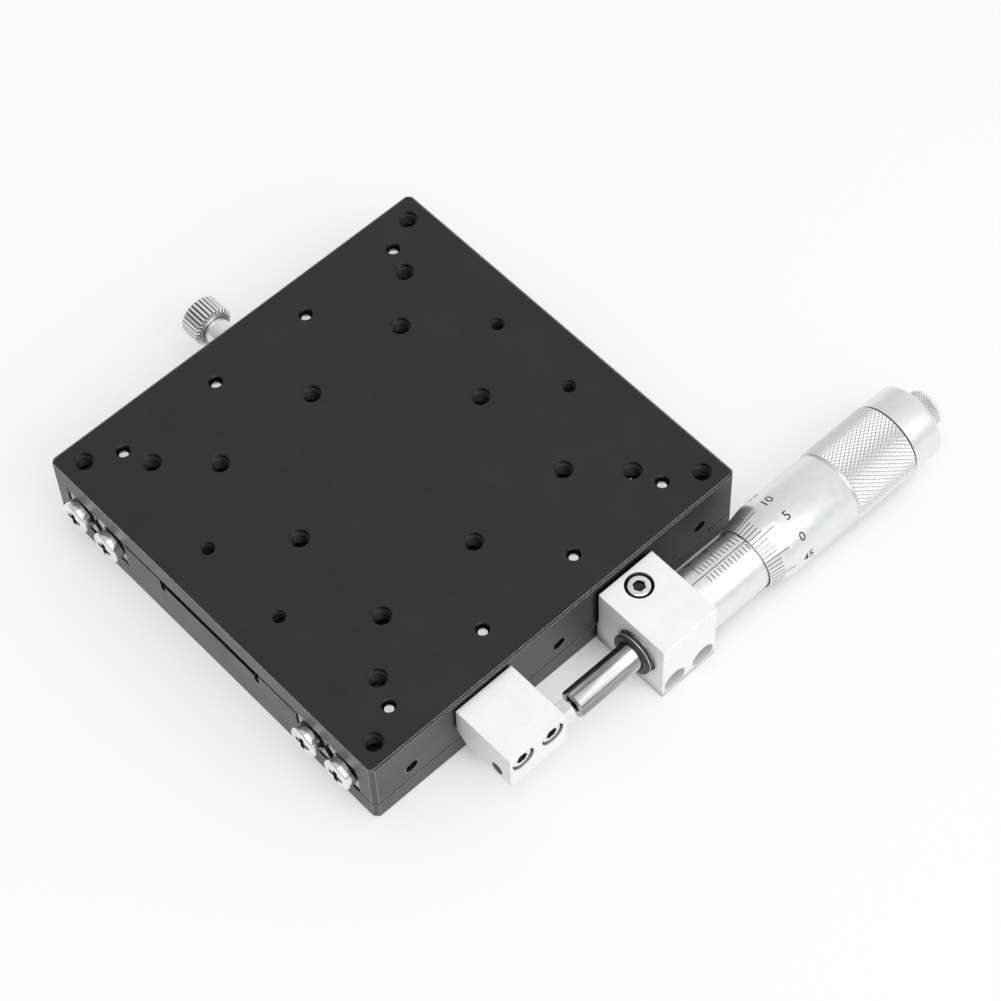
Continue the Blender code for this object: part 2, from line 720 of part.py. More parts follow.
def make_rails(carrier):
    """Two pairs of like rails, each turned half round so that its groove faces its partner's."""
    blank = outline_mesh(rail_outline(), RAIL_LENGTH, PROFILE_ALONG_X)
    mesh = combined_mesh(blank, joined(rail_cutters()), "DIFFERENCE")
    base_face = CHANNEL_Y - RAIL_GAP / 2
    table_face = CHANNEL_Y + RAIL_GAP / 2
    about_x, about_y, about_z = (Matrix.Rotation(math.pi, 4, axis) for axis in "XYZ")
    rails = (
        ("base_rail_near", -base_face, Matrix(), None),
        ("table_rail_near", -table_face, about_x, carrier),
        ("base_rail_far", base_face, about_z, None),
        ("table_rail_far", table_face, about_y, carrier),
    )
    for name, face_y, turn, body in rails:
        place = Matrix.Translation((0, face_y, RAIL_MIDDLE))
        add_part(name, mesh, ground_steel(), body, place @ turn)


def make_cage(name, side):
    """A cage with crossed rollers: each roller's axis is square to its neighbour's."""
    half = (ROLLERS - 1) / 2
    length = (ROLLERS - 1) * ROLLER_PITCH + ROLLER_DIAMETER + 2 * CAGE_END
    strip = box_mesh(length, CAGE_THICKNESS, CAGE_HEIGHT)
    roller = rod_mesh(ROLLER_DIAMETER, ROLLER_LENGTH, ROLLER_STEPS)
    roller.transform(Matrix.Translation((0, 0, -ROLLER_LENGTH / 2)))
    places = []
    for index in range(ROLLERS):
        lean = 1 if index % 2 else -1
        centre = ((index - half) * ROLLER_PITCH, 0, 0)
        places.append((roller, placed(centre, (0, lean, 1))))
    mesh = combined_mesh(strip, joined(places), "UNION")
    shade_round(mesh)
    carrier = add_carrier(f"{name}_carrier", (0, side * CHANNEL_Y, RAIL_MIDDLE))
    add_part(name, mesh, brass_cage(), carrier)


def with_hex_socket(mesh, across_flats, top):
    """Cuts a hexagonal socket down from local z = top."""
    socket = hole_mesh(2 * across_flats / math.sqrt(3), HEX_DEPTH, HEX_SIDES)
    socket.transform(Matrix.Translation((0, 0, top)))
    mesh = combined_mesh(mesh, socket, "DIFFERENCE")
    shade_round(mesh)
    return mesh


def cap_screw_mesh(length):
    """A socket cap screw: its seat on z = 0, its head above and its shank below."""
    head, shank = CAP_HEAD / 2, SHANK / 2
    profile = [
        (0, CAP_HEAD_HEIGHT),
        (head, CAP_HEAD_HEIGHT),
        (head, 0),
        (shank, 0),
        (shank, -length),
        (0, -length),
    ]
    return with_hex_socket(turned_mesh(profile, SMALL_STEPS), HEX_SOCKET, CAP_HEAD_HEIGHT)


def add_copies(name, mesh, places, finish, carrier=None):
    """Copies of one mesh, numbered from 1."""
    for number, place in enumerate(places, 1):
        add_part(f"{name}_{number}", mesh, finish, carrier, place)


def make_rail_screws(carrier):
    """Screws up through the table rails into the table, and down through the base rails."""
    seat = CAP_HEAD_HEIGHT + RAIL_SCREW_SINK
    up_seat, down_seat = RAIL_BOTTOM + seat, RAIL_TOP - seat
    table_screw = cap_screw_mesh(TABLE_TOP - RAIL_SCREW_TIP - up_seat)
    base_screw = cap_screw_mesh(down_seat - RAIL_SCREW_TIP)
    lines = [(x, side) for side in (-1, 1) for x in rail_hole_places()]
    up = [placed((x, side * TABLE_RAIL_LINE, up_seat - FIT / 2), (0, 0, -1)) for x, side in lines]
    down = [placed((x, side * BASE_RAIL_LINE, down_seat + FIT / 2)) for x, side in lines]
    add_copies("table_rail_screw", table_screw, up, zinc_steel(), carrier)
    add_copies("base_rail_screw", base_screw, down, zinc_steel())


def cross_outline():
    """A plus sign, for the recess of a cross-recessed screw."""
    long, short = CROSS_LENGTH / 2, CROSS_WIDTH / 2
    arm = [(short, short), (short, long), (-short, long)]
    points = []
    for quarter in range(4):
        turn = Matrix.Rotation(quarter * math.pi / 2, 2)
        points += [tuple(turn @ Vector(point)) for point in arm]
    return points


def pan_screw_mesh():
    """A pan-head screw with a domed head and a cross recess, its seat on z = 0."""
    radius, height, dome = PAN_HEAD / 2, PAN_HEAD_HEIGHT, PAN_DOME
    crown = []
    for step in range(CROWN_STEPS + 1):
        angle = math.pi / 2 * step / CROWN_STEPS
        across = radius - dome + dome * math.sin(angle)
        crown.append((across, height - dome + dome * math.cos(angle)))
    shank = [(PAN_SHANK / 2, 0), (PAN_SHANK / 2, -PAN_LENGTH), (0, -PAN_LENGTH)]
    body = turned_mesh([(0, height), *crown, (radius, 0), *shank], HOLE_STEPS)
    middle = height - CROSS_DEPTH / 2 + OVERSHOOT / 2
    place = Matrix.Translation((0, 0, middle))
    cross = outline_mesh(cross_outline(), CROSS_DEPTH + OVERSHOOT, place)
    mesh = combined_mesh(body, cross, "DIFFERENCE")
    shade_round(mesh)
    return mesh


def make_end_screws(carrier):
    """The pan-head screws in the rail ends, which keep the cages in."""
    screw = pan_screw_mesh()
    lines = (("base", BASE_RAIL_LINE, None), ("table", TABLE_RAIL_LINE, carrier))
    for owner, line, body in lines:
        places = []
        for end in (-1, 1):
            x = end * (RAIL_LENGTH / 2 + FIT)
            for side in (-1, 1):
                places.append(placed((x, side * line, RAIL_MIDDLE), (end, 0, 0)))
        add_copies(f"{owner}_end_screw", screw, places, zinc_steel(), body)


def set_screw_places():
    outer = STAGE_LENGTH / 2 - SET_SCREW_INSET
    return [-outer, 0, outer]


def make_set_screws(carrier):
    """Socket set screws that press the near table rail against its rollers."""
    length = TABLE_LEG - SET_SCREW_SINK
    mesh = with_hex_socket(rod_mesh(SET_SCREW, length, SMALL_STEPS), SET_SOCKET, length)
    places = [placed((x, -LEG_INSIDE, RAIL_MIDDLE), (0, -1, 0)) for x in set_screw_places()]
    add_copies("preload_screw", mesh, places, dark_steel(), carrier)


def anvil_screw_places():
    return [ANVIL_CENTRE + side * ANVIL_SCREW_SPACING / 2 for side in (-1, 1)]


def anvil_screw_height():
    return ANVIL_TOP - ANVIL_SCREW_DROP


def make_anvil(carrier):
    """The block on the table's side that the spindle pushes, with its lower back edge cut away."""
    front = ANVIL_BACK - ANVIL_DEPTH
    outline = [
        (front, ANVIL_TOP),
        (front, ANVIL_BOTTOM),
        (ANVIL_BACK - ANVIL_CUT, ANVIL_BOTTOM),
        (ANVIL_BACK, ANVIL_BOTTOM + ANVIL_CUT),
        (ANVIL_BACK, ANVIL_TOP),
    ]
    place = Matrix.Translation((ANVIL_CENTRE, 0, 0)) @ PROFILE_ALONG_X
    mesh = outline_mesh(outline, ANVIL_LENGTH, place)
    anvil = add_part("anvil_block", mesh, blasted_aluminium(), carrier)
    soften(anvil)
    counterbore = hole_mesh(COUNTERBORE, ANVIL_COUNTERBORE_DEPTH)
    through = hole_mesh(SHANK_HOLE, ANVIL_DEPTH + OVERSHOOT, SMALL_STEPS)
    stepped = combined_mesh(counterbore, through, "UNION")
    pin_hole = hole_mesh(PIN_SHANK + 2 * FIT, ANVIL_LENGTH + OVERSHOOT, SMALL_STEPS)
    height = anvil_screw_height()
    cuts = [(stepped, placed((x, front, height), (0, -1, 0))) for x in anvil_screw_places()]
    cuts.append((pin_hole, on_axis(ANVIL_FACE)))
    combine(anvil, joined(cuts))
    seat = front + ANVIL_COUNTERBORE_DEPTH - FIT
    screw = cap_screw_mesh(NEAR_SIDE + TABLE_LEG - seat - 3 * FIT)
    places = [placed((x, seat, height), (0, -1, 0)) for x in anvil_screw_places()]
    add_copies("anvil_screw", screw, places, zinc_steel(), carrier)


def make_contact_pin(carrier):
    """The hexagonal pin in the anvil that the spindle bears on."""
    corner, shank = PIN_HEX / math.sqrt(3), PIN_SHANK / 2
    head = [
        (0, PIN_HEX_LENGTH),
        (corner - PIN_POINT, PIN_HEX_LENGTH),
        (corner, PIN_HEX_LENGTH - PIN_POINT),
        (corner, 0),
        (0, 0),
    ]
    lower = [(0, PIN_HEX_LENGTH / 2), (shank, PIN_HEX_LENGTH / 2)]
    lower += [(shank, -PIN_SHANK_LENGTH), (0, -PIN_SHANK_LENGTH)]
    mesh = combined_mesh(turned_mesh(head, HEX_SIDES), turned_mesh(lower, SMALL_STEPS), "UNION")
    add_part("contact_pin", mesh, zinc_steel(), carrier, on_axis(ANVIL_FACE + FIT))


def holder_screw_places():
    return [HOLDER_CENTRE + side * HOLDER_SCREW_SPACING / 2 for side in (-1, 1)]


def make_holder():
    """The block on the base that holds the micrometer, relieved where the table passes it."""
    outline = [
        (HOLDER_FRONT, HOLDER_HEIGHT),
        (HOLDER_FRONT, 0),
        (HOLDER_BACK, 0),
        (HOLDER_BACK, HOLDER_RELIEF_FROM),
        (HOLDER_BACK - HOLDER_RELIEF, HOLDER_RELIEF_FROM),
        (HOLDER_BACK - HOLDER_RELIEF, HOLDER_HEIGHT),
    ]
    place = Matrix.Translation((HOLDER_CENTRE, 0, 0)) @ PROFILE_ALONG_X
    mesh = outline_mesh(outline, HOLDER_LENGTH, place)
    holder = add_part("micrometer_holder", mesh, blasted_aluminium())
    soften(holder)
    bore = hole_mesh(STEM_DIAMETER + 2 * FIT, HOLDER_LENGTH + OVERSHOOT, ROUND_STEPS)
    combine(holder, joined([(bore, on_axis(HOLDER_RIGHT))]))
    seat_depth = HOLDER_DEPTH - HOLDER_SEAT
    deep = hole_mesh(COUNTERBORE, seat_depth)
    through = hole_mesh(SHANK_HOLE, HOLDER_DEPTH + OVERSHOOT, SMALL_STEPS)
    stepped = combined_mesh(deep, through, "UNION")
    fronts = [(x, HOLDER_FRONT, HOLDER_SCREW_HEIGHT) for x in holder_screw_places()]
    combine(holder, joined([(stepped, placed(front, (0, -1, 0))) for front in fronts]))
    screw = cap_screw_mesh(HOLDER_SCREW_LENGTH)
    y = HOLDER_BACK - HOLDER_SEAT - FIT
    seats = [placed((x, y, HOLDER_SCREW_HEIGHT), (0, -1, 0)) for x in holder_screw_places()]
    add_copies("holder_screw", screw, seats, zinc_steel())
    make_clamp_screw(holder)


def make_clamp_screw(holder):
    """The screw in the holder's top that clamps the micrometer's stem."""
    y = HOLDER_BACK - CLAMP_SCREW_INSET
    depth = CLAMP_SINK + CAP_HEAD_HEIGHT
    counterbore = hole_mesh(CLAMP_COUNTERBORE, depth)
    hole = hole_mesh(SHANK_HOLE, depth + CLAMP_SCREW_LENGTH + FIT, SMALL_STEPS)
    stepped = combined_mesh(counterbore, hole, "UNION")
    combine(holder, joined([(stepped, placed((HOLDER_CENTRE, y, HOLDER_HEIGHT)))]))
    seat = HOLDER_HEIGHT - depth + FIT
    screw = cap_screw_mesh(CLAMP_SCREW_LENGTH)
    add_part("clamp_screw", screw, zinc_steel(), None, placed((HOLDER_CENTRE, y, seat)))


def make_sleeve():
    """The micrometer's stem and sleeve in one piece, bored for the spindle."""
    bore, stem = SLEEVE_BORE / 2, STEM_DIAMETER / 2
    nose, barrel = STEM_NOSE / 2, SLEEVE_DIAMETER / 2
    front = HOLDER_LEFT - STEM_NUT_THICKNESS + STEM_NUT_LIP + FIT
    rear = SLEEVE_START + SLEEVE_LENGTH
    start = HOLDER_LEFT + FIT
    profile = [
        (bore, rear),
        (barrel, rear),
        (barrel, SLEEVE_START),
        (stem, SLEEVE_START),
        (stem, start),
        (nose, start),
        (nose, front),
        (bore, front),
    ]
    turned("micrometer_sleeve", profile, satin_chrome(), on_axis(0), closed=True)


def make_stem_nut():
    """The dark nut on the stem's nose, in front of the holder."""
    rear = HOLDER_LEFT - FIT
    front = HOLDER_LEFT - STEM_NUT_THICKNESS
    outer, edge = STEM_NUT / 2, STEM_NUT_EDGE
    thread = STEM_NOSE / 2 + FIT
    hole = SLEEVE_BORE / 2
    profile = [
        (thread, rear),
        (outer, rear),
        (outer, front + edge),
        (outer - edge, front),
        (hole, front),
        (hole, front + STEM_NUT_LIP),
        (thread, front + STEM_NUT_LIP),
    ]
    turned("stem_nut", profile, dark_steel(), on_axis(0), closed=True)


def make_spindle():
    """The spindle, from its tip to its tail inside the thimble."""
    radius, tail = SPINDLE_DIAMETER / 2, SPINDLE_TAIL / 2
    shoulder = THIMBLE_REAR - THIMBLE_WEB - FIT
    profile = [
        (0, THIMBLE_REAR - FIT),
        (tail, THIMBLE_REAR - FIT),
        (tail, shoulder),
        (radius, shoulder),
        (radius, SPINDLE_TIP + SPINDLE_CHAMFER),
        (radius - SPINDLE_CHAMFER, SPINDLE_TIP),
        (0, SPINDLE_TIP),
    ]
    turned("spindle", profile, polished_steel(), on_axis(0))


def make_thimble():
    """The thimble: a graduated bevel, a smooth barrel, a knurled grip and a web at its rear."""
    bore, smooth = THIMBLE_BORE / 2, THIMBLE_DIAMETER / 2
    knurl = smooth + KNURL_RISE
    knurl_start = THIMBLE_FRONT + THIMBLE_SMOOTH
    web = THIMBLE_REAR - THIMBLE_WEB
    tail = SPINDLE_TAIL / 2 + FIT
    profile = [
        (tail, THIMBLE_REAR),
        (knurl - KNURL_GROOVE, THIMBLE_REAR),
        (knurl, THIMBLE_REAR - KNURL_GROOVE),
        (knurl, knurl_start + KNURL_GROOVE),
        (knurl - 2 * KNURL_GROOVE, knurl_start),
        (smooth, knurl_start - KNURL_GROOVE),
        (smooth, THIMBLE_FRONT + THIMBLE_BEVEL),
        (bore + THIMBLE_LIP, THIMBLE_FRONT),
        (bore, THIMBLE_FRONT),
        (bore, web),
        (tail, web),
    ]
    turned("thimble", profile, satin_chrome(), on_axis(0), closed=True)


def make_thimble_cap():
    """The plain cap that closes the thimble, with a filleted rear edge and a socket for the ratchet."""
    radius = CAP_DIAMETER / 2
    front = THIMBLE_REAR + FIT
    socket = RATCHET_STUB / 2 + FIT
    floor = CAP_REAR - RATCHET_STUB_LENGTH - FIT
    fillet = []
    for step in range(FILLET_STEPS + 1):
        angle = math.pi / 2 * (1 - step / FILLET_STEPS)
        across = radius - CAP_FILLET + CAP_FILLET * math.cos(angle)
        fillet.append((across, CAP_REAR - CAP_FILLET + CAP_FILLET * math.sin(angle)))
    profile = [(0, floor), (socket, floor), (socket, CAP_REAR), *fillet, (radius, front), (0, front)]
    turned("thimble_cap", profile, satin_chrome(), on_axis(0))


def knob_profile(diameter, length, chamfer, *steps):
    """A knob from local z = 0 to its length, chamfered at both ends, with (diameter, depth) steps below."""
    radius = diameter / 2
    profile = [(0, length), (radius - chamfer, length), (radius, length - chamfer)]
    profile += [(radius, chamfer), (radius - chamfer, 0)]
    top = 0
    for step_diameter, depth in steps:
        profile += [(step_diameter / 2, top), (step_diameter / 2, -depth)]
        top = -depth
    return [*profile, (0, top)]


def make_ratchet():
    """The small ratchet knob, with the stub that it turns on."""
    stub = (RATCHET_STUB, RATCHET_STUB_LENGTH)
    profile = knob_profile(RATCHET_DIAMETER, RATCHET_LENGTH, RATCHET_CHAMFER, stub)
    turned("ratchet_knob", profile, satin_chrome(), on_axis(CAP_REAR + FIT))


def make_lock_knob(carrier):
    """The lock knob, whose stud runs through the lock plate's slot into the table's leg."""
    start = LOCK_PLATE_FACE + FIT + LOCK_SHANK_LENGTH
    shank = (LOCK_SHANK, LOCK_SHANK_LENGTH)
    stud = (LOCK_STUD, start - LEG_INSIDE - LOCK_STUD_END)
    profile = knob_profile(LOCK_HEAD, LOCK_HEAD_LENGTH, LOCK_CHAMFER, shank, stud)
    place = placed((0, start, LOCK_HEIGHT), (0, 1, 0))
    turned("lock_knob", profile, zinc_steel(), place, parent=carrier)


def make_lock_plate():
    """The slotted plate on the base's side that the lock knob clamps to the table."""
    corner = LOCK_PLATE_CORNER
    low, high = LOCK_PLATE_BOTTOM + corner, TABLE_TOP - LOCK_PLATE_DROP - corner
    half = LOCK_PLATE_LENGTH / 2 - corner
    outline = []
    for x, z, start in ((half, high, 0), (-half, high, 90), (-half, low, 180), (half, low, 270)):
        for step in range(FILLET_STEPS):
            angle = math.radians(start + 90 * step / (FILLET_STEPS - 1))
            outline.append((x + corner * math.cos(angle), z + corner * math.sin(angle)))
    upright = Matrix.Rotation(math.pi / 2, 4, "X")
    middle = (LOCK_PLATE_BACK + LOCK_PLATE_FACE) / 2
    place = Matrix.Translation((0, middle, 0)) @ upright
    mesh = outline_mesh(outline, LOCK_PLATE_THICKNESS, place)
    plate = add_part("lock_plate", mesh, black_anodised())
    slot_width = LOCK_STUD + 2 * FIT
    back, out = TABLE_TRAVEL_BACK, TABLE_TRAVEL_OUT
    slot = stadium(back + out + slot_width + 2 * FIT, slot_width, ((out - back) / 2, LOCK_HEIGHT))
    cutter = outline_mesh(slot, LOCK_PLATE_THICKNESS + 2 * OVERSHOOT, place)
    hole = hole_mesh(SHANK_HOLE, LOCK_PLATE_THICKNESS + OVERSHOOT, SMALL_STEPS)
    mouths = [(side * LOCK_SCREW_X, LOCK_PLATE_FACE, LOCK_SCREW_HEIGHT) for side in (-1, 1)]
    cuts = [(hole, placed(mouth, (0, 1, 0))) for mouth in mouths]
    combine(plate, joined([(cutter, Matrix()), *cuts]))
    screw = cap_screw_mesh(LOCK_SCREW_LENGTH)
    seats = [placed((x, y + FIT, z), (0, 1, 0)) for x, y, z in mouths]
    add_copies("lock_plate_screw", screw, seats, zinc_steel())


def spring_path():
    """One extension spring along X: a loop round each pin, with a coil between them."""
    loop = SPRING_PIN / 2 + FIT + SPRING_WIRE / 2
    radius = SPRING_DIAMETER / 2
    coil = SPRING_TURNS * SPRING_PITCH
    middle = (TABLE_PIN_X + BASE_PIN_X) / 2
    start, end = middle - coil / 2, middle + coil / 2
    steps = COIL_STEPS
    path = []
    for step in range(steps):
        angle = math.pi - HOOK_SWEEP * (1 - step / steps)
        path.append((TABLE_PIN_X - loop * math.cos(angle), loop * math.sin(angle), 0))
    path.append((TABLE_PIN_X + loop, 0, 0))
    path.append((start - SPRING_PITCH, 0, 0))
    for step in range(SPRING_TURNS * steps + 1):
        angle = math.tau * step / steps
        x = start + coil * step / (SPRING_TURNS * steps)
        path.append((x, radius * math.cos(angle), radius * math.sin(angle)))
    path.append((end + SPRING_PITCH, 0, 0))
    path.append((BASE_PIN_X - loop, 0, 0))
    for step in range(1, steps + 1):
        angle = HOOK_SWEEP * step / steps
        path.append((BASE_PIN_X - loop * math.cos(angle), loop * math.sin(angle), 0))
    return path


def make_spring(name, side):
    curve = bpy.data.curves.new(name, "CURVE")
    curve.dimensions = "3D"
    curve.bevel_depth = SPRING_WIRE / 2
    curve.bevel_resolution = 0
    curve.use_fill_caps = True
    path = spring_path()
    spline = curve.splines.new("POLY")
    spline.points.add(len(path) - 1)
    for point, place in zip(spline.points, path):
        point.co = (*place, 1)
    spring = link(bpy.data.objects.new(name, curve))
    curve.materials.append(spring_steel())
    spring.location = (0, side * SPRING_Y, SPRING_HEIGHT)


def make_spring_pins(carrier):
    """The pins that the springs' loops hook on: two stand in the base, two hang from the table."""
    foot = POCKET_FLOOR - PIN_SINK + FIT
    low = SPRING_HEIGHT - PIN_ABOVE_SPRING
    base_pin = rod_mesh(SPRING_PIN, SPRING_HEIGHT + PIN_ABOVE_SPRING - foot, SMALL_STEPS)
    table_pin = rod_mesh(SPRING_PIN, TABLE_UNDERSIDE + PIN_SINK - FIT - low, SMALL_STEPS)
    for pin in (base_pin, table_pin):
        shade_round(pin)
    base = [placed((BASE_PIN_X, side * SPRING_Y, foot)) for side in (-1, 1)]
    table = [placed((TABLE_PIN_X, side * SPRING_Y, low)) for side in (-1, 1)]
    add_copies("base_spring_pin", base_pin, base, ground_steel())
    add_copies("table_spring_pin", table_pin, table, ground_steel(), carrier)


def make_stage():
    clear_scene()
    table = add_carrier("table_carrier")
    make_base()
    make_table(table)
    make_rails(table)
    make_cage("roller_cage_near", -1)
    make_cage("roller_cage_far", 1)
    make_rail_screws(table)
    make_end_screws(table)
    make_set_screws(table)
    make_anvil(table)
    make_contact_pin(table)
    make_holder()
    make_sleeve()
    make_stem_nut()
    make_spindle()
    make_thimble()
    make_thimble_cap()
    make_ratchet()
    make_lock_plate()
    make_lock_knob(table)
    make_spring_pins(table)
    make_spring("return_spring_near", -1)
    make_spring("return_spring_far", 1)


make_stage()
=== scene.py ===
"""Looks of the linear translation stage: light, finishes and the fine pieces that ride on the CAD frame.

Lengths are in millimetres in the frame of the CAD. Each mesh is brought to metres when it becomes a piece.
"""

import json
import math

import bmesh
import bpy
from mathutils import Matrix, Vector

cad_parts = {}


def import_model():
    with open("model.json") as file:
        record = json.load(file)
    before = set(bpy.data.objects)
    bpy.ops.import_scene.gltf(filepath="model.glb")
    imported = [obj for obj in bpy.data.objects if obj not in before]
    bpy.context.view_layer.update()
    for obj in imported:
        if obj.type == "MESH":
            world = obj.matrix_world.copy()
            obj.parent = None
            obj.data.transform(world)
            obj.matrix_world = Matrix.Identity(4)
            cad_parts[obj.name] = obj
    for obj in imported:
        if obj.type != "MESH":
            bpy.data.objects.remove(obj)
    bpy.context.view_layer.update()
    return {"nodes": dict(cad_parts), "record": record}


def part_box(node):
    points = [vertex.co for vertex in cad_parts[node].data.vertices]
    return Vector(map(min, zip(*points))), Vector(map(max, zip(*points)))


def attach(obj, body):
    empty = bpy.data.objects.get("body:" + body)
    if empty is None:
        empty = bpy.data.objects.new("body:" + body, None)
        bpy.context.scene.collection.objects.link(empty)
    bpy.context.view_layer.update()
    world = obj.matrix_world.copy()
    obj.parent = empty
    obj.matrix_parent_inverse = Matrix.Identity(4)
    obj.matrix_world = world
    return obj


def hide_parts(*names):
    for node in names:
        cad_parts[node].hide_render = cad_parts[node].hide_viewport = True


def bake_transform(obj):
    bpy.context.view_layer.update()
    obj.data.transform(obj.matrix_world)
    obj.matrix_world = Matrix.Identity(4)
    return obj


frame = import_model()

MM = 0.001
MM_PER_METRE = 1000
METRES = Matrix.Scale(MM, 4)
SMOOTH_ANGLE = math.radians(32)
WELD = 1e-4
TINY = 1e-6
CLEARANCE = 0.3


class Extent:
    """The box of a CAD node, in millimetres."""

    def __init__(self, node):
        self.low, self.high = (Vector(corner) * MM_PER_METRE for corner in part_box(node))
        self.middle = (self.low + self.high) / 2
        self.size = self.high - self.low


def numbered(stem, count):
    """The names of a numbered set of CAD nodes."""
    return [f"{stem}_{number}" for number in range(1, count + 1)]


TABLE = Extent("table_plate")
TABLE_RAIL = Extent("table_rail_far")
ANVIL = Extent("anvil_block")
HOLDER = Extent("micrometer_holder")
SPINDLE = Extent("spindle")
SLEEVE = Extent("micrometer_sleeve")
NUT = Extent("stem_nut")
THIMBLE = Extent("thimble")
CAP = Extent("thimble_cap")
RATCHET = Extent("ratchet_knob")
KNOB = Extent("lock_knob")
CONTACT = Extent("contact_pin")

# The micrometer's axis, with angles counted from -Y over the top
AXIS_Y = THIMBLE.middle.y
AXIS_Z = THIMBLE.middle.z
AROUND_AXIS = Matrix(((0, 0, 1, 0), (-1, 0, 0, AXIS_Y), (0, 1, 0, AXIS_Z), (0, 0, 0, 1)))

UP, DOWN, NEAR, FAR = (0, 0, 1), (0, 0, -1), (0, -1, 0), (0, 1, 0)
RIGHT, LEFT = (1, 0, 0), (-1, 0, 0)


# Finishes

DEEP_SHADE = (0.006, 0.006, 0.006)


class Finish:
    """A Principled material with its detail in nodes, on the piece's own coordinates in millimetres."""

    def __init__(self, name, metallic, **sockets):
        self.material = bpy.data.materials.new(name)
        self.material.use_nodes = True
        self.tree = self.material.node_tree
        self.shader = self.tree.nodes["Principled BSDF"]
        self.shader.inputs["Metallic"].default_value = metallic
        for socket, value in sockets.items():
            self.shader.inputs[socket.replace("_", " ")].default_value = value
        place = self.tree.nodes.new("ShaderNodeTexCoord").outputs["Object"]
        self.place = self.scaled(place, (MM_PER_METRE, MM_PER_METRE, MM_PER_METRE))

    def node(self, kind, links, **settings):
        """A node with its settings and its inputs, each input a value or another node's output."""
        made = self.tree.nodes.new(kind)
        for name, value in settings.items():
            setattr(made, name, value)
        for socket, value in links.items():
            if isinstance(value, bpy.types.NodeSocket):
                self.tree.links.new(value, made.inputs[socket])
            else:
                made.inputs[socket].default_value = value
        return made

    def scaled(self, vector, factors):
        links = {0: vector, 1: factors}
        return self.node("ShaderNodeVectorMath", links, operation="MULTIPLY").outputs[0]

    def noise(self, size, detail=2.0, stretch=(1, 1, 1)):
        """Noise whose features are about this many millimetres across."""
        place = self.scaled(self.place, tuple(factor / size for factor in stretch))
        links = {"Vector": place, "Scale": 1.0, "Detail": detail}
        return self.node("ShaderNodeTexNoise", links).outputs["Fac"]

    def span(self, value, low, high, start=0.35, end=0.65):
        """The value's range from start to end brought to low to high."""
        links = {"Value": value, "From Min": start, "From Max": end, "To Min": low, "To Max": high}
        return self.node("ShaderNodeMapRange", links, clamp=True).outputs["Result"]

    def maths(self, operation, first, second):
        return self.node("ShaderNodeMath", {0: first, 1: second}, operation=operation).outputs[0]

    def mix(self, factor, first, second):
        """One colour blended into another."""
        colours = [(*c, 1.0) if isinstance(c, tuple) else c for c in (first, second)]
        made = self.node("ShaderNodeMix", {0: factor, 6: colours[0], 7: colours[1]}, data_type="RGBA")
        return made.outputs[2]

    def edges(self, radius, sharp=0.75):
        """1 on the rim of a sharp edge, falling to 0 inside the face."""
        on_face = 0.993
        bent = self.node("ShaderNodeBevel", {"Radius": radius * MM}, samples=4).outputs[0]
        flat = self.tree.nodes.new("ShaderNodeNewGeometry").outputs["Normal"]
        turned_away = self.node("ShaderNodeVectorMath", {0: bent, 1: flat}, operation="DOT_PRODUCT")
        return self.span(turned_away.outputs["Value"], 1.0, 0.0, sharp, on_face)

    def beyond(self, distance):
        """1 where X or Y is further than this from the middle."""
        parts = self.node("ShaderNodeSeparateXYZ", {0: self.place}).outputs
        furthest = self.maths("MAXIMUM", *(self.maths("ABSOLUTE", part, 0.0) for part in parts[:2]))
        return self.maths("GREATER_THAN", furthest, distance)

    def crevice(self, reach, dark, closed=0.12, opened=0.55):
        """How open a place is, from ambient occlusion, for painting shade: from dark deep inside a narrow gap
        to 1 in the open.
        """
        made = self.node("ShaderNodeAmbientOcclusion", {"Distance": reach * MM}, samples=10)
        return self.span(made.outputs["AO"], dark, 1.0, closed, opened)

    def bump(self, height, strength, depth):
        links = {"Height": height, "Strength": strength, "Distance": depth * MM}
        return self.node("ShaderNodeBump", links).outputs["Normal"]

    def glancing_gloss(self, facing, glancing, painted_shade_mask):
        """Less gloss where the surface is seen square on, more where it is seen at an angle, and less in a
        hole as painted shade.
        """
        square_on, at_an_angle = 0.25, 0.6
        turn = self.node("ShaderNodeLayerWeight", {"Blend": 0.5}).outputs["Facing"]
        gloss = self.span(turn, facing, glancing, square_on, at_an_angle)
        gloss = self.maths("MULTIPLY", gloss, painted_shade_mask)
        self.tree.links.new(gloss, self.shader.inputs["Specular IOR Level"])

    def finish(self, colour, roughness, normal):
        self.tree.links.new(colour, self.shader.inputs["Base Color"])
        self.tree.links.new(roughness, self.shader.inputs["Roughness"])
        self.tree.links.new(normal, self.shader.inputs["Normal"])
        return self.material


def black_anodised():
    """Blasted and black anodised aluminium, a little lighter along its outer edges, where it is worn and
    where a highlight is painted.
    """
    dark, light = (0.0085, 0.0085, 0.0090), (0.0120, 0.0120, 0.0125)
    glint, bare_and_highlight = (0.026, 0.026, 0.027), (0.46, 0.46, 0.465)
    outer_rim = TABLE.high.x - 1.5
    made = Finish("black_anodised_look", 0.0)
    # Painted shade: the gloss is dimmed deep in the holes.
    hole = made.crevice(reach=3.0, dark=0.08, closed=0.25, opened=0.75)
    made.glancing_gloss(facing=0.42, glancing=1.0, painted_shade_mask=hole)
    cloud = made.noise(9.0, detail=3.0)
    grain = made.noise(0.30, detail=3.0)
    colour = made.mix(made.span(cloud, 0.0, 1.0), dark, light)
    colour = made.mix(made.span(grain, 0.0, 0.35, start=0.5, end=0.75), colour, glint)
    # Paler outer edges: partly wear, partly a painted highlight on the chamfers.
    patches = made.span(made.noise(0.9), 0.5, 0.95)
    pale_edge = made.maths("MULTIPLY", made.edges(radius=0.3, sharp=0.93), patches)
    pale_edge = made.maths("MULTIPLY", pale_edge, made.beyond(outer_rim))
    colour = made.mix(pale_edge, colour, bare_and_highlight)
    roughness = made.maths("ADD", made.span(cloud, 0.34, 0.41), made.span(grain, -0.03, 0.05))
    return made.finish(colour, roughness, made.bump(grain, strength=0.8, depth=0.03))


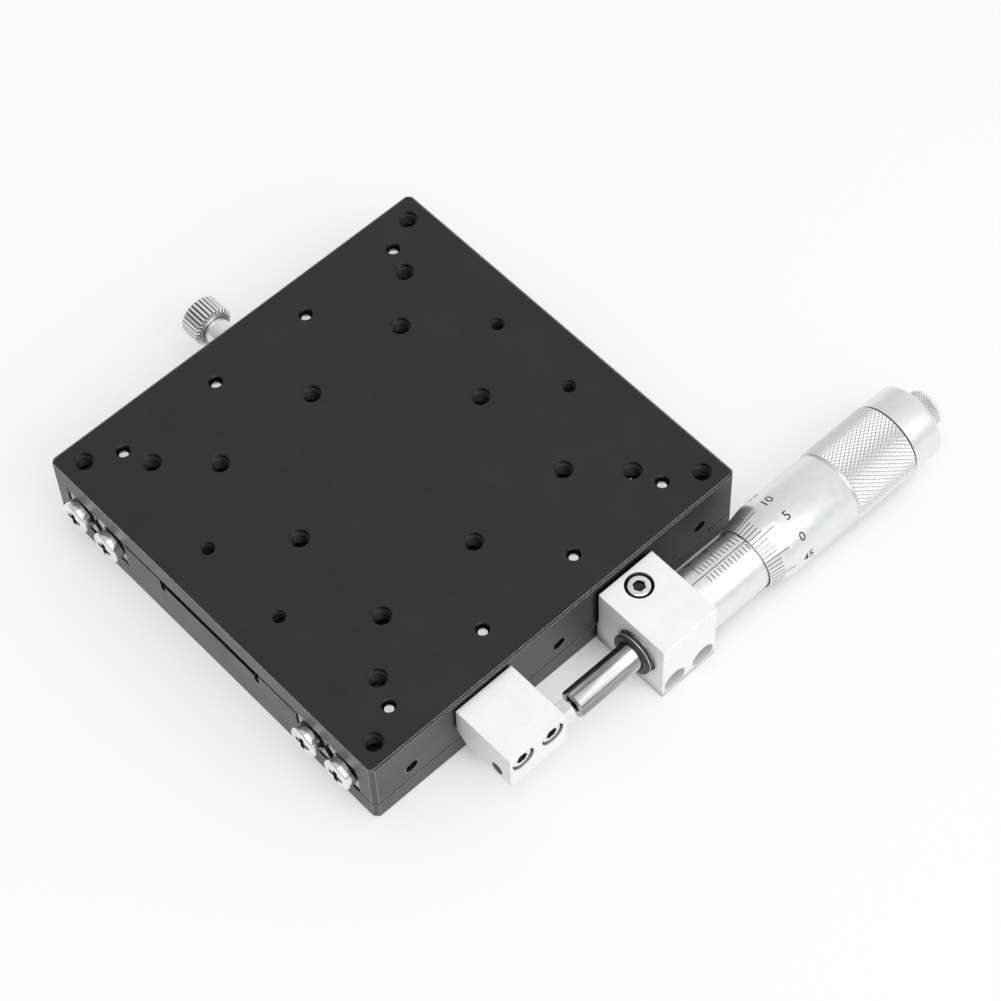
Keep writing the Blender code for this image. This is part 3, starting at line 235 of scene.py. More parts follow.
def blasted_aluminium():
    """Bead-blasted aluminium: pale, nearly matt and finely grained, with painted shade in its narrow gaps."""
    dark, light = (0.93, 0.935, 0.94), (0.96, 0.965, 0.97)
    pit, pale_edge = (0.87, 0.87, 0.88), (0.97, 0.97, 0.97)
    made = Finish("blasted_aluminium_look", 0.28)
    cloud = made.noise(4.0, detail=3.0)
    grain = made.noise(0.24, detail=3.0, stretch=(1, 1, 0.15))
    colour = made.mix(made.span(cloud, 0.0, 1.0), dark, light)
    colour = made.mix(made.span(grain, 0.0, 1.0, start=0.30, end=0.55), pit, colour)
    colour = made.mix(made.maths("MULTIPLY", made.edges(radius=0.2), 0.6), colour, pale_edge)
    # Painted shade in bores, counterbores and narrow gaps.
    gap = made.crevice(reach=5.0, dark=0.05, closed=0.20, opened=0.80)
    colour = made.mix(gap, DEEP_SHADE, colour)
    roughness = made.maths("ADD", made.span(cloud, 0.48, 0.56), made.span(grain, -0.05, 0.06))
    return made.finish(colour, roughness, made.bump(grain, strength=0.5, depth=0.03))


def lathe_metal(name, colours, roughness, metallic, bump, lines=(1, 0.03, 0.03), clouds=(1, 1, 1)):
    """Turned metal: fine rings or lines in its roughness and its surface, and a clouded colour."""
    made = Finish(name, metallic)
    rings = made.noise(0.22, detail=2.0, stretch=lines)
    cloud = made.noise(1.6, detail=3.0, stretch=clouds)
    colour = made.mix(made.span(cloud, 0.0, 1.0), *colours)
    # Painted shade in narrow gaps, such as between the thimble and its cap.
    colour = made.mix(made.crevice(reach=0.5, dark=0.4), DEEP_SHADE, colour)
    rough = made.maths("ADD", made.span(rings, *roughness), made.span(cloud, -0.02, 0.02))
    return made.finish(colour, rough, made.bump(rings, strength=bump, depth=0.002))


def knurled_metal():
    """Satin chrome with painted shade in the grooves of a knurl."""
    dark, light, groove = (0.86, 0.86, 0.87), (0.90, 0.90, 0.91), (0.08, 0.08, 0.083)
    made = Finish("knurled_chrome_look", 0.75)
    grain = made.noise(0.4)
    colour = made.mix(made.span(grain, 0.0, 1.0), dark, light)
    # Painted shade: the knurl's grooves turn nearly black.
    painted_shade_mask = made.crevice(reach=0.6, dark=0.0, closed=0.45, opened=0.85)
    colour = made.mix(painted_shade_mask, groove, colour)
    roughness = made.span(grain, 0.27, 0.33)
    return made.finish(colour, roughness, made.bump(grain, strength=0.1, depth=0.003))


def ground_steel():
    """Steel ground lengthwise."""
    dark, light, pale_edge = (0.40, 0.405, 0.41), (0.50, 0.505, 0.51), (0.8, 0.8, 0.8)
    made = Finish("ground_steel_look", 1.0)
    lines = made.noise(0.18, detail=3.0, stretch=(0.04, 1, 1))
    cloud = made.noise(6.0)
    colour = made.mix(made.span(cloud, 0.0, 1.0), dark, light)
    colour = made.mix(made.maths("MULTIPLY", made.edges(radius=0.15), 0.7), colour, pale_edge)
    roughness = made.span(lines, 0.22, 0.36)
    return made.finish(colour, roughness, made.bump(lines, strength=0.25, depth=0.006))


def plain_metal(name, dark, light, roughness, metallic=1.0, grain_size=0.3):
    """A small part's metal, with a fine grain and slightly uneven gloss."""
    made = Finish(name, metallic)
    grain = made.noise(grain_size)
    cloud = made.noise(2.5)
    colour = made.mix(made.span(cloud, 0.0, 1.0), dark, light)
    # Painted shade in narrow gaps, sockets and recesses.
    gap = made.crevice(reach=1.0, dark=0.03, closed=0.15, opened=0.60)
    colour = made.mix(gap, DEEP_SHADE, colour)
    rough = made.maths("ADD", made.span(cloud, *roughness), made.span(grain, -0.02, 0.03))
    return made.finish(colour, rough, made.bump(grain, strength=0.2, depth=0.006))


BLACK = black_anodised()
BLASTED = blasted_aluminium()
SATIN = lathe_metal(
    "satin_chrome_look",
    colours=((0.82, 0.825, 0.83), (0.87, 0.875, 0.88)),
    roughness=(0.31, 0.36),
    metallic=0.85,
    bump=0.10,
)
# Polished steel: its colour is streaked dark and pale along the axis, painted reflections of its
# surroundings.
POLISHED = lathe_metal(
    "polished_steel_look",
    colours=((0.30, 0.305, 0.31), (0.72, 0.72, 0.71)),
    roughness=(0.16, 0.28),
    metallic=1.0,
    bump=0.2,
    lines=(0.05, 1, 1),
    clouds=(0.12, 1, 1),
)
KNURLED = knurled_metal()
GROUND = ground_steel()
PLATED = plain_metal("plated_steel_look", (0.82, 0.82, 0.81), (0.92, 0.92, 0.91), (0.13, 0.20), 1.0, 0.6)
# Dark steel; inside the sockets and cross recesses of plated screws it is painted shade.
DARK_STEEL_AND_SOCKET_SHADE = plain_metal("dark_steel_and_socket_shade_look", (0.018, 0.018, 0.019), (0.030, 0.030, 0.031), (0.42, 0.52), 0.0)
BRASS = plain_metal("brass_look", (0.58, 0.43, 0.19), (0.66, 0.51, 0.25), (0.28, 0.38))
SPRING = plain_metal("spring_steel_look", (0.46, 0.46, 0.46), (0.56, 0.56, 0.56), (0.20, 0.28))
INK = plain_metal("ink_look", (0.012, 0.012, 0.013), (0.022, 0.022, 0.023), (0.50, 0.60), 0.0)

FINISH_OF_SLOT = {
    "black_anodised": BLACK,
    "blasted_aluminium": BLASTED,
    "satin_chrome": SATIN,
    "polished_steel": POLISHED,
    "ground_steel": GROUND,
    "plated_steel": PLATED,
    "dark_steel": DARK_STEEL_AND_SOCKET_SHADE,
    "brass": BRASS,
    "spring_steel": SPRING,
}


def paint_cad_nodes():
    """Gives each CAD node the finish of its slot in the record."""
    for row in frame["record"]["subparts"]:
        mesh = frame["nodes"][row["node"]].data
        mesh.materials.clear()
        mesh.materials.append(FINISH_OF_SLOT[row["material_slot"]])


# Shapes


def new_object(name, data):
    obj = bpy.data.objects.new(name, data)
    bpy.context.scene.collection.objects.link(obj)
    return obj


def polar(radius, angle, height):
    return Vector((radius * math.cos(angle), radius * math.sin(angle), height))


def towards(location, direction):
    """The matrix that puts a local origin at a place, with local +Z along a direction."""
    turn = Vector(direction).to_track_quat("Z", "Y").to_matrix().to_4x4()
    return Matrix.Translation(location) @ turn


def turn_profile(work, profile, steps, place=AROUND_AXIS, closed=False, split=False, slot=0):
    """Turns (radius, height) points about local Z. A radius may be a function of angle and height.

    A closed profile joins its last point to its first. A split face is cut along its lower diagonal.
    """
    rings, sizes = [], []
    for radius, height in profile:
        ring, size = [], []
        for step in range(steps):
            angle = math.tau * step / steps
            across = radius(angle, height) if callable(radius) else radius
            size.append(across)
            if across < TINY and ring:
                ring.append(ring[0])
                continue
            ring.append(work.verts.new(place @ polar(across, angle, height)))
        rings.append(ring)
        sizes.append(size)
    pairs = list(zip(range(len(rings)), range(1, len(rings))))
    if closed:
        pairs.append((len(rings) - 1, 0))
    for low, high in pairs:
        for i in range(steps):
            j = (i + 1) % steps
            corners = [rings[low][i], rings[low][j], rings[high][j], rings[high][i]]
            one = sizes[low][i] + sizes[high][j]
            other = sizes[low][j] + sizes[high][i]
            faces = [corners]
            if split and len(set(corners)) == 4 and abs(one - other) > TINY:
                turn = 0 if one < other else 1
                corners = corners[turn:] + corners[:turn]
                faces = [corners[:3], [corners[2], corners[3], corners[0]]]
            for face in faces:
                face = list(dict.fromkeys(face))
                if len(face) > 2:
                    work.faces.new(face).material_index = slot


def mesh_of(work):
    """The bmesh as a mesh, with its faces turned outwards."""
    bmesh.ops.recalc_face_normals(work, faces=work.faces)
    mesh = bpy.data.meshes.new("mesh")
    work.to_mesh(mesh)
    work.free()
    return mesh


def turned(profile, steps, place=AROUND_AXIS, **options):
    work = bmesh.new()
    turn_profile(work, profile, steps, place, **options)
    return mesh_of(work)


def turned_in_parts(parts, steps, place=AROUND_AXIS):
    """Turns a run of profiles, each (finish slot, points), that meet at their ends."""
    work = bmesh.new()
    for slot, profile in parts:
        turn_profile(work, profile, steps, place, slot=slot)
    bmesh.ops.remove_doubles(work, verts=work.verts, dist=WELD)
    return mesh_of(work)


def add_piece(name, mesh, finishes, body, nodes=(), smooth=SMOOTH_ANGLE):
    """Makes a piece of a mesh, in millimetres, that rides on a CAD body and stands for CAD nodes.

    Faces that meet at less than the smooth angle are shaded as one. With None the mesh keeps its shading.
    """
    mesh.transform(METRES)
    if smooth:
        mesh.shade_smooth()
        mesh.set_sharp_from_angle(angle=smooth)
    for finish in finishes:
        mesh.materials.append(finish)
    piece = new_object(name, mesh)
    if body:
        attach(piece, body)
    if nodes:
        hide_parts(*nodes)
    return piece


def extruded(outline, start, end):
    """An outline of (y, z) points given a length along X."""
    work = bmesh.new()
    ends = [[work.verts.new((x, y, z)) for y, z in outline] for x in (start, end)]
    for ring in ends:
        work.faces.new(ring)
    for i in range(len(outline)):
        j = (i + 1) % len(outline)
        work.faces.new([ends[0][i], ends[0][j], ends[1][j], ends[1][i]])
    return work


def add_tube(work, rings):
    """Faces between neighbouring rings of vertices, closed at both ends."""
    count = len(rings[0])
    for ring, after in zip(rings, rings[1:]):
        for i in range(count):
            j = (i + 1) % count
            work.faces.new([ring[i], ring[j], after[j], after[i]])
    work.faces.new(rings[0])
    work.faces.new(rings[-1])


def bevel_where(work, width, chosen):
    """Bevels the edges whose middles satisfy the test."""
    edges = [edge for edge in work.edges if chosen((edge.verts[0].co + edge.verts[1].co) / 2)]
    bmesh.ops.bevel(work, geom=edges, offset=width, segments=1, affect="EDGES")


def machined(blank, cutters, edge, segments=2):
    """A blank with its cutters taken out and every sharp edge eased."""
    pieces = []
    for mesh in (blank, cutters):
        mesh.shade_smooth()
        pieces.append(new_object("blank", mesh))
    boolean = pieces[0].modifiers.new("cut", "BOOLEAN")
    boolean.solver = "EXACT"
    boolean.object = pieces[1]
    bevel = pieces[0].modifiers.new("edges", "BEVEL")
    bevel.width = edge
    bevel.segments = segments
    bevel.limit_method = "ANGLE"
    bevel.angle_limit = SMOOTH_ANGLE
    weighted = pieces[0].modifiers.new("normals", "WEIGHTED_NORMAL")
    weighted.weight = 100
    bpy.context.view_layer.update()
    graph = bpy.context.evaluated_depsgraph_get()
    made = bpy.data.meshes.new_from_object(pieces[0].evaluated_get(graph))
    for piece in pieces:
        bpy.data.objects.remove(piece)
    return made


def add_hole(work, diameter, depth, place, chamfer=0.0, steps=48):
    """A round cutter that enters at local z = 0, with an optional chamfered mouth."""
    radius, above = diameter / 2, 1
    mouth = radius + chamfer + (above if chamfer else 0)
    profile = [(0, above), (mouth, above), (radius, -chamfer), (radius, -depth), (0, -depth)]
    turn_profile(work, profile, steps, place)


def grid(places_x, places_y):
    return [(x, y) for x in places_x for y in places_y]


def spaced(start, end, count):
    return [start + (end - start) * step / count for step in range(count + 1)]


# Table

M4, M4_PITCH, M4_RIDGE = 4.2, 0.7, 0.36
M3, M3_PITCH, M3_RIDGE = 3.1, 0.5, 0.26
BLIND_DEPTH, THROUGH_DEPTH = 5.0, 6.5
HOLE_CHAMFER = 0.15
UNDERSIDE = 14.5
CORNER_HOLES = grid((-45, 45), (-45, 45))
THROUGH_HOLES = grid((-35, 35), (-35, 35)) + grid((-25, 25), (-25, 0, 25)) + [(0, -25), (0, 25)]
RAIL_SCREWS = [Extent(node) for node in numbered("table_rail_screw", 8)]
SCREW_HOLES = [(screw.middle.x, screw.middle.y) for screw in RAIL_SCREWS]
OPEN_HOLES = grid((-40, 40), (-11, 11))
ANVIL_SCREWS = [Extent(node) for node in numbered("anvil_screw", 2)]


def add_side_holes(holes):
    """The holes in the table's sides for the preload screws, the anvil's screws and the lock's stud."""
    side, steps = TABLE.high.y, 40
    side_hole, preload_depth, anvil_depth = 3.2, 5.5, 3.9
    stud_hole, stud_depth = 4.4, 4.2
    for node in numbered("preload_screw", 3):
        screw = Extent(node).middle
        add_hole(holes, side_hole, preload_depth, towards((screw.x, -side, screw.z), NEAR), steps=steps)
    for screw in ANVIL_SCREWS:
        place = towards((screw.middle.x, -side, screw.middle.z), NEAR)
        add_hole(holes, side_hole, anvil_depth, place, steps=steps)
    add_hole(holes, stud_hole, stud_depth, towards((0, side, KNOB.middle.z), FAR), steps=steps)


def table_plate():
    """The table with round, countersunk holes and eased edges."""
    side, end, top, leg_foot = TABLE.high.y, TABLE.high.x, TABLE.high.z, TABLE.low.z
    leg_inside, rail_seat, channel = 45.5, TABLE_RAIL.high.z + CLEARANCE, 36.2
    corner_chamfer, top_chamfer, eased, on_edge = 1.0, 0.4, 0.07, 0.01
    pin_hole, pin_depth, relief, overrun = 3.0, 3.0, 0.9, 2
    half = [(side, top), (side, leg_foot), (leg_inside, leg_foot), (leg_inside, rail_seat)]
    half += [(channel, rail_seat), (channel, UNDERSIDE)]
    work = extruded(half + [(-y, z) for y, z in reversed(half)], TABLE.low.x, end)
    bevel_where(work, corner_chamfer, lambda p: abs(abs(p.x) - end) + abs(abs(p.y) - side) < on_edge)
    bevel_where(work, top_chamfer, lambda p: abs(p.z - top) < on_edge)
    holes = bmesh.new()
    for x, y in CORNER_HOLES:
        add_hole(holes, M4, BLIND_DEPTH, towards((x, y, top), UP), HOLE_CHAMFER)
    for x, y in THROUGH_HOLES:
        add_hole(holes, M4, THROUGH_DEPTH, towards((x, y, top), UP), HOLE_CHAMFER)
    for x, y in OPEN_HOLES + SCREW_HOLES:
        add_hole(holes, M3, THROUGH_DEPTH, towards((x, y, top), UP), steps=40)
    add_side_holes(holes)
    for node in numbered("table_spring_pin", 2):
        pin = Extent(node).middle
        add_hole(holes, pin_hole, pin_depth, towards((pin.x, pin.y, UNDERSIDE), DOWN), steps=40)
        corner = (end + overrun, math.copysign(leg_inside, pin.y), rail_seat)
        add_hole(holes, relief, 2 * (end + overrun), towards(corner, RIGHT), steps=24)
    mesh = machined(mesh_of(work), mesh_of(holes), eased)
    add_piece("table_plate_machined", mesh, [BLACK], "table", ["table_plate"], smooth=None)


def add_thread(work, x, y, radius, depth, pitch, top, bottom, steps=28):
    """A helical ridge on the wall of a hole, closed at both ends."""
    sunk, foot, crest, fade_steps, last_fade = 0.05, pitch * 0.44, 0.04, 10, 0.02
    turns = (top - bottom) / pitch - 1
    rings = []
    for step in range(int(turns * steps) + 1):
        angle = math.tau * step / steps
        height = top - pitch / 2 - pitch * step / steps
        fade = min(1.0, step / fade_steps, (turns * steps - step) / fade_steps + last_fade)
        wall, tip = radius + sunk, radius - depth * fade
        ring = []
        for across, rise in ((wall, foot), (tip, crest), (tip, -crest), (wall, -foot)):
            point = (x + across * math.cos(angle), y + across * math.sin(angle), height + rise)
            ring.append(work.verts.new(point))
        rings.append(ring)
    add_tube(work, rings)


def table_threads():
    """The threads in the table's holes: M4, and M3 in the small ones."""
    top, clear = TABLE.high.z, 0.1
    through_end = UNDERSIDE + clear
    work = bmesh.new()
    for x, y in CORNER_HOLES + THROUGH_HOLES:
        end = top - BLIND_DEPTH + clear if (x, y) in CORNER_HOLES else through_end
        add_thread(work, x, y, M4 / 2, M4_RIDGE, M4_PITCH, top - 2 * clear, end)
    for x, y in OPEN_HOLES:
        add_thread(work, x, y, M3 / 2, M3_RIDGE, M3_PITCH, top - clear, through_end)
    add_piece("table_threads", mesh_of(work), [BLACK], "table")


# Blocks

COUNTERBORE = 5.7
BLOCK_EDGE = 0.13


def add_block(name, node, outline, holes, body):
    """A blasted block: an outline along X with its holes cut and its edges eased."""
    box = Extent(node)
    blank = mesh_of(extruded(outline, box.low.x, box.high.x))
    mesh = machined(blank, mesh_of(holes), BLOCK_EDGE, 3)
    add_piece(name, mesh, [BLASTED], body, [node], smooth=None)


def anvil_block():
    """The block on the table that the spindle pushes, cut away along its lower inner edge."""
    cut, seat_depth, pin_hole, pin_depth = 2.5, 3.3, 3.0, 4.0
    low, high = ANVIL.low, ANVIL.high
    outline = [(low.y, high.z), (low.y, low.z), (high.y - cut, low.z)]
    outline += [(high.y, low.z + cut), (high.y, high.z)]
    holes = bmesh.new()
    for screw in ANVIL_SCREWS:
        add_hole(holes, COUNTERBORE, seat_depth, towards((screw.middle.x, low.y, screw.middle.z), NEAR))
    add_hole(holes, pin_hole, pin_depth, towards((low.x, AXIS_Y, AXIS_Z), LEFT))
    add_block("anvil_block_machined", "anvil_block", outline, holes, "table")


def micrometer_holder():
    """The block on the base that holds the micrometer, relieved where it passes the table."""
    relief, relief_from = 0.4, 6.4
    bore, bore_depth, seat_depth = 10.0, 17, 15.1
    clamp_bore, clamp_depth = 6.2, 3.1
    low, high = HOLDER.low, HOLDER.high
    outline = [(low.y, high.z), (low.y, low.z), (high.y, low.z), (high.y, relief_from)]
    outline += [(high.y - relief, relief_from), (high.y - relief, high.z)]
    holes = bmesh.new()
    add_hole(holes, bore, bore_depth, towards((high.x, AXIS_Y, AXIS_Z), RIGHT), steps=64)
    for node in numbered("holder_screw", 2):
        screw = Extent(node).middle
        add_hole(holes, COUNTERBORE, seat_depth, towards((screw.x, low.y, screw.z), NEAR))
    clamp = Extent("clamp_screw").middle
    add_hole(holes, clamp_bore, clamp_depth, towards((clamp.x, clamp.y, high.z), UP))
    add_block("holder_block_machined", "micrometer_holder", outline, holes, "base")


# Screws


def node_axis(node, direction):
    """(middle of a CAD node's low end along a direction, its length that way)."""
    box, along = Extent(node), Vector(direction)
    length = abs(box.size.dot(along))
    return box.middle - along * length / 2, length


def hexagon(across_flats):
    """The radius of a hexagon at each angle, with a corner at angle 0."""
    sector = math.pi / 3

    def radius(angle, _height):
        return across_flats / 2 / math.cos(angle % sector - sector / 2)

    return radius


def ridged(radius, depth, teeth):
    """The radius of a straight-knurled rim at each angle: flat-topped ridges between grooves."""

    def at(angle, _height):
        fold = abs(2 * (angle * teeth / math.tau % 1) - 1)
        return radius - depth * max(0.0, 2 * fold - 1)

    return at


def cross(long, short):
    """The radius of a cross at each angle, its arms along the axes."""

    def radius(angle, _height):
        fold = abs((angle + math.pi / 4) % (math.pi / 2) - math.pi / 4)
        return min(long / math.cos(fold), short / max(math.sin(fold), TINY))

    return radius


def cap_screw(node, direction, body):
    """A socket cap screw with a straight-knurled head, in the place of a CAD one."""
    foot, length = node_axis(node, direction)
    head, shank, height, flats, socket_depth, tip, eased = 2.55, 1.3, 2.6, 2.5, 1.3, 0.3, 0.25
    neck, floor = length - height, length - socket_depth
    rim, socket = ridged(head, depth=0.07, teeth=24), hexagon(flats)
    mouth = (socket, length - 0.06)
    outside = [(0, 0), (shank - tip, 0), (shank, tip), (shank, neck), (head - eased, neck)]
    outside += [(rim, neck + eased), (rim, length - 0.35), (head - 0.08, length - 0.26)]
    outside += [(head - 0.16, length - 0.08), (head - 0.3, length), (flats * 0.64, length), mouth]
    inside = [mouth, (socket, floor), (0, floor - 0.35)]
    # The socket's inside takes the dark steel finish as painted shade.
    mesh = turned_in_parts([(0, outside), (1, inside)], 96, towards(foot, direction))
    name = node.replace("screw", "cap_screw")
    add_piece(name, mesh, [PLATED, DARK_STEEL_AND_SOCKET_SHADE], body, [node])


def pan_screw(node, direction, body):
    """A pan-head screw with a flat face, a rounded rim and a cross recess."""
    foot, length = node_axis(node, direction)
    shank, tip, height, rim, eased, dome = 1.4, 0.2, 2.4, 3.65, 0.15, 0.5
    arm, half_width, depth = 1.95, 0.62, 1.3
    seat, shoulder = length - height, length - dome - 0.06
    outside = [(0, 0), (shank - tip, 0), (shank, tip), (shank, seat)]
    outside += [(rim - eased, seat), (rim, seat + eased)]
    for degrees in range(0, 91, 15):
        angle = math.radians(degrees)
        outside.append((rim - dome * (1 - math.cos(angle)), shoulder + dome * math.sin(angle)))
    mouth = (cross(arm, half_width), length)
    outside += [(arm + 0.35, length - 0.04), mouth]
    recess = [mouth, (cross(1.8, 0.5), length - 0.5), (cross(1.2, 0.34), length - 1.2), (0, length - depth)]
    # The cross recess takes the dark steel finish as painted shade.
    mesh = turned_in_parts([(0, outside), (1, recess)], 120, towards(foot, direction))
    name = node.replace("screw", "pan_screw")
    add_piece(name, mesh, [PLATED, DARK_STEEL_AND_SOCKET_SHADE], body, [node])


def set_screw(node):
    """A preload set screw with a hexagon socket."""
    foot, length = node_axis(node, NEAR)
    shank, tip, eased, depth, socket = 1.3, 0.3, 0.25, 1.3, hexagon(1.5)
    profile = [(0, 0), (shank - tip, 0), (shank, tip), (shank, length - eased), (shank - eased, length)]
    profile += [(0.95, length), (socket, length - 0.08), (socket, length - depth), (0, length - depth - 0.2)]
    name = node.replace("screw", "set_screw")
    add_piece(name, turned(profile, 72, towards(foot, NEAR)), [DARK_STEEL_AND_SOCKET_SHADE], "table", [node])


def all_screws():
    """Every screw, each in the place of its CAD node."""
    for number in (1, 2):
        cap_screw(f"anvil_screw_{number}", NEAR, "table")
        cap_screw(f"holder_screw_{number}", NEAR, "base")
        cap_screw(f"lock_plate_screw_{number}", FAR, "base")
    cap_screw("clamp_screw", UP, "base")
    for number in range(1, 9):
        cap_screw(f"table_rail_screw_{number}", DOWN, "table")
        cap_screw(f"base_rail_screw_{number}", UP, "base")
    for number in range(1, 5):
        end = LEFT if number < 3 else RIGHT
        pan_screw(f"base_end_screw_{number}", end, "base")
        pan_screw(f"table_end_screw_{number}", end, "table")
    for node in numbered("preload_screw", 3):
        set_screw(node)


# Micrometer head

SLEEVE_RADIUS = 6.9
SLEEVE_BORE = 3.475
THIMBLE_RADIUS = 8.75
BEVEL_START, BEVEL_SLOPE = 7.45, 1.3 / 6.6
KNURL_RADIUS = 8.95
STEPS_PER_TOOTH = 4


def diamond(radius, depth, teeth, pitch, start):
    """The radius of a diamond knurl at each angle and height: flat-topped points between crossing grooves."""

    def groove(turns):
        return abs(2 * ((turns + 0.5) % 1) - 1)

    def at(angle, height):
        around, along = angle * teeth / math.tau, (height - start) / pitch
        rise = min(groove(around + along), groove(around - along))
        return radius - depth * (1 - min(1.0, 1.5 * rise))

    return at


def knurled_band(radius, depth, teeth, start, end, rows):
    """The profile points of a diamond-knurled band."""
    pitch = (end - start) / rows * STEPS_PER_TOOTH
    knurl = diamond(radius, depth, teeth, pitch, start)
    return [(knurl, x) for x in spaced(start, end, rows)]


def thimble():
    """The thimble: a bevel for the scale, a smooth barrel and a diamond-knurled grip."""
    front, rear, smooth, bore, tail = THIMBLE.low.x, THIMBLE.high.x, THIMBLE_RADIUS, 7.15, 2.3
    grip_length, web_depth, knurl_depth, teeth, rows = 17.1, 3.0, 0.22, 58, 48
    grip, web, groove, shoulder = rear - grip_length, rear - web_depth, smooth - 0.4, (8.66, rear - 0.05)
    barrel = [(tail, web), (bore, web), (bore, front + 0.05), (bore + 0.05, front)]
    barrel += [(BEVEL_START - 0.05, front), (BEVEL_START + 0.01, front + 0.04)]
    barrel += [(smooth - 0.04, front + 6.43), (smooth - 0.005, front + 6.63), (smooth, front + 6.88)]
    barrel += [(smooth, grip - 0.45), (smooth - 0.07, grip - 0.3), (groove, grip - 0.05)]
    barrel += [(groove, grip + 0.05), (smooth - 0.03, grip + 0.3)]
    band = knurled_band(KNURL_RADIUS, knurl_depth, teeth, grip + 0.35, rear - 0.27, rows)
    back = [shoulder, (8.55, rear), (tail, rear), barrel[0]]
    work = bmesh.new()
    steps = teeth * STEPS_PER_TOOTH
    turn_profile(work, barrel, steps)
    turn_profile(work, [barrel[-1], *band, shoulder], steps, split=True, slot=1)
    turn_profile(work, back, steps)
    bmesh.ops.remove_doubles(work, verts=work.verts, dist=WELD)
    add_piece("thimble_knurled", mesh_of(work), [SATIN, KNURLED], "thimble", ["thimble"])


def thimble_cap():
    """The thimble's end cap, with a rounded rim and a recess for the ratchet."""
    front, rear, radius, fillet, fillet_steps = CAP.low.x, CAP.high.x, 8.7, 1.2, 8
    recess, recess_depth, eased = 2.5, 3.8, 0.08
    profile = [(0, front), (radius - eased, front), (radius, front + eased), (radius, rear - fillet)]
    for step in range(1, fillet_steps + 1):
        angle = math.pi / 2 * step / fillet_steps
        profile.append((radius - fillet + fillet * math.cos(angle), rear - fillet + fillet * math.sin(angle)))
    profile += [(recess + 0.1, rear), (recess, rear - 0.1)]
    profile += [(recess, rear - recess_depth), (0, rear - recess_depth)]
    add_piece("thimble_end_cap", turned(profile, 128), [SATIN], "thimble", ["thimble_cap"])


def ratchet():
    """The ratchet knob, with a fine knurl on its rim."""
    foot, rear, shank, head_length = RATCHET.low.x, RATCHET.high.x, 2.2, 4.2
    radius, knurl_depth, teeth, rows = 4.4, 0.18, 40, 16
    front = rear - head_length
    profile = [(0, foot), (shank, foot), (shank, front), (4.1, front), (4.28, front + 0.25)]
    profile += knurled_band(radius, knurl_depth, teeth, front + 0.55, rear - 0.85, rows)
    profile += [(4.3, rear - 0.65), (4.1, rear - 0.15), (3.9, rear)]
    profile += [(2.4, rear), (2.3, rear - 0.15), (0, rear - 0.25)]
    mesh = turned(profile, teeth * STEPS_PER_TOOTH, split=True)
    add_piece("ratchet_knurled", mesh, [KNURLED], "ratchet", ["ratchet_knob"])


def sleeve():
    """The sleeve with its narrower stem in the holder."""
    bore, nose, stem, eased = SLEEVE_BORE, 4.0, 4.7, 0.1
    front, rear = SLEEVE.low.x, SLEEVE.high.x
    step, shoulder = HOLDER.low.x + CLEARANCE, HOLDER.high.x + CLEARANCE
    profile = [(bore, rear), (SLEEVE_RADIUS - eased, rear), (SLEEVE_RADIUS, rear - eased)]
    profile += [(SLEEVE_RADIUS, shoulder + 0.15), (SLEEVE_RADIUS - 0.15, shoulder), (stem, shoulder)]
    profile += [(stem, step + eased), (stem - eased, step), (nose, step), (nose, front), (bore, front)]
    mesh = turned(profile, 128, closed=True)
    add_piece("sleeve_turned", mesh, [SATIN], "base", ["micrometer_sleeve"])


def stem_nut():
    """The stem's nut: two dark rims with a bright line between them."""
    front, rear, rim, bore, thread = NUT.low.x, NUT.high.x, 4.9, SLEEVE_BORE, 4.3
    line, seat = rim - 0.06, front + 0.6
    first = [(thread, rear), (rim - 0.1, rear), (rim, rear - 0.08), (rim, rear - 0.62), (line, rear - 0.68)]
    bright = [first[-1], (line, rear - 0.88)]
    second = [bright[-1], (rim, rear - 0.96), (rim, front + 0.18), (rim - 0.16, front), (bore, front)]
    second += [(bore, seat), (thread, seat), (thread, rear)]
    mesh = turned_in_parts([(0, first), (1, bright), (0, second)], 96)
    add_piece("stem_nut_turned", mesh, [DARK_STEEL_AND_SOCKET_SHADE, PLATED], "base", ["stem_nut"])


def spindle():
    """The polished spindle, with a thinner tail inside the thimble."""
    front, rear, radius, tail, tail_length = SPINDLE.low.x, SPINDLE.high.x, 3.175, 2.0, 3.0
    neck = rear - tail_length
    profile = [(0, front), (radius - 0.45, front), (radius - 0.4, front + 0.02)]
    profile += [(radius - 0.04, front + 0.38), (radius, front + 0.45), (radius, neck)]
    profile += [(tail, neck), (tail, rear), (0, rear)]
    add_piece("spindle_polished", turned(profile, 96), [POLISHED], "feed", ["spindle"])


def contact_pin():
    """The hexagonal pin that the spindle bears on, with its shank in the anvil."""
    tip, foot, end = CONTACT.high.x, ANVIL.high.x + CLEARANCE, CONTACT.low.x
    rim, shank, eased = hexagon(4.4), 1.3, 0.2
    profile = [(0, tip), (1.7, tip), (1.85, tip - 0.05), (rim, tip - 0.55), (rim, foot + 0.1)]
    profile += [(2.1, foot), (shank, foot), (shank, end + eased), (shank - eased, end), (0, end)]
    mesh = turned(profile, 96)
    add_piece("contact_pin_ground", mesh, [PLATED], "table", ["contact_pin"])


# Micrometer scales

TICK_WIDTH = 0.19
TICK_RISE = 0.012
INDEX_ANGLE = 92.5
DIVISIONS = 50
FIGURE_EVERY = 5
TRAVEL = 25
THIMBLE_READING = 7
SCALE_ZERO = SLEEVE.low.x + 19.68


def thimble_cone(x):
    """The radius of the thimble's bevel."""
    return BEVEL_START + (x - THIMBLE.low.x) * BEVEL_SLOPE


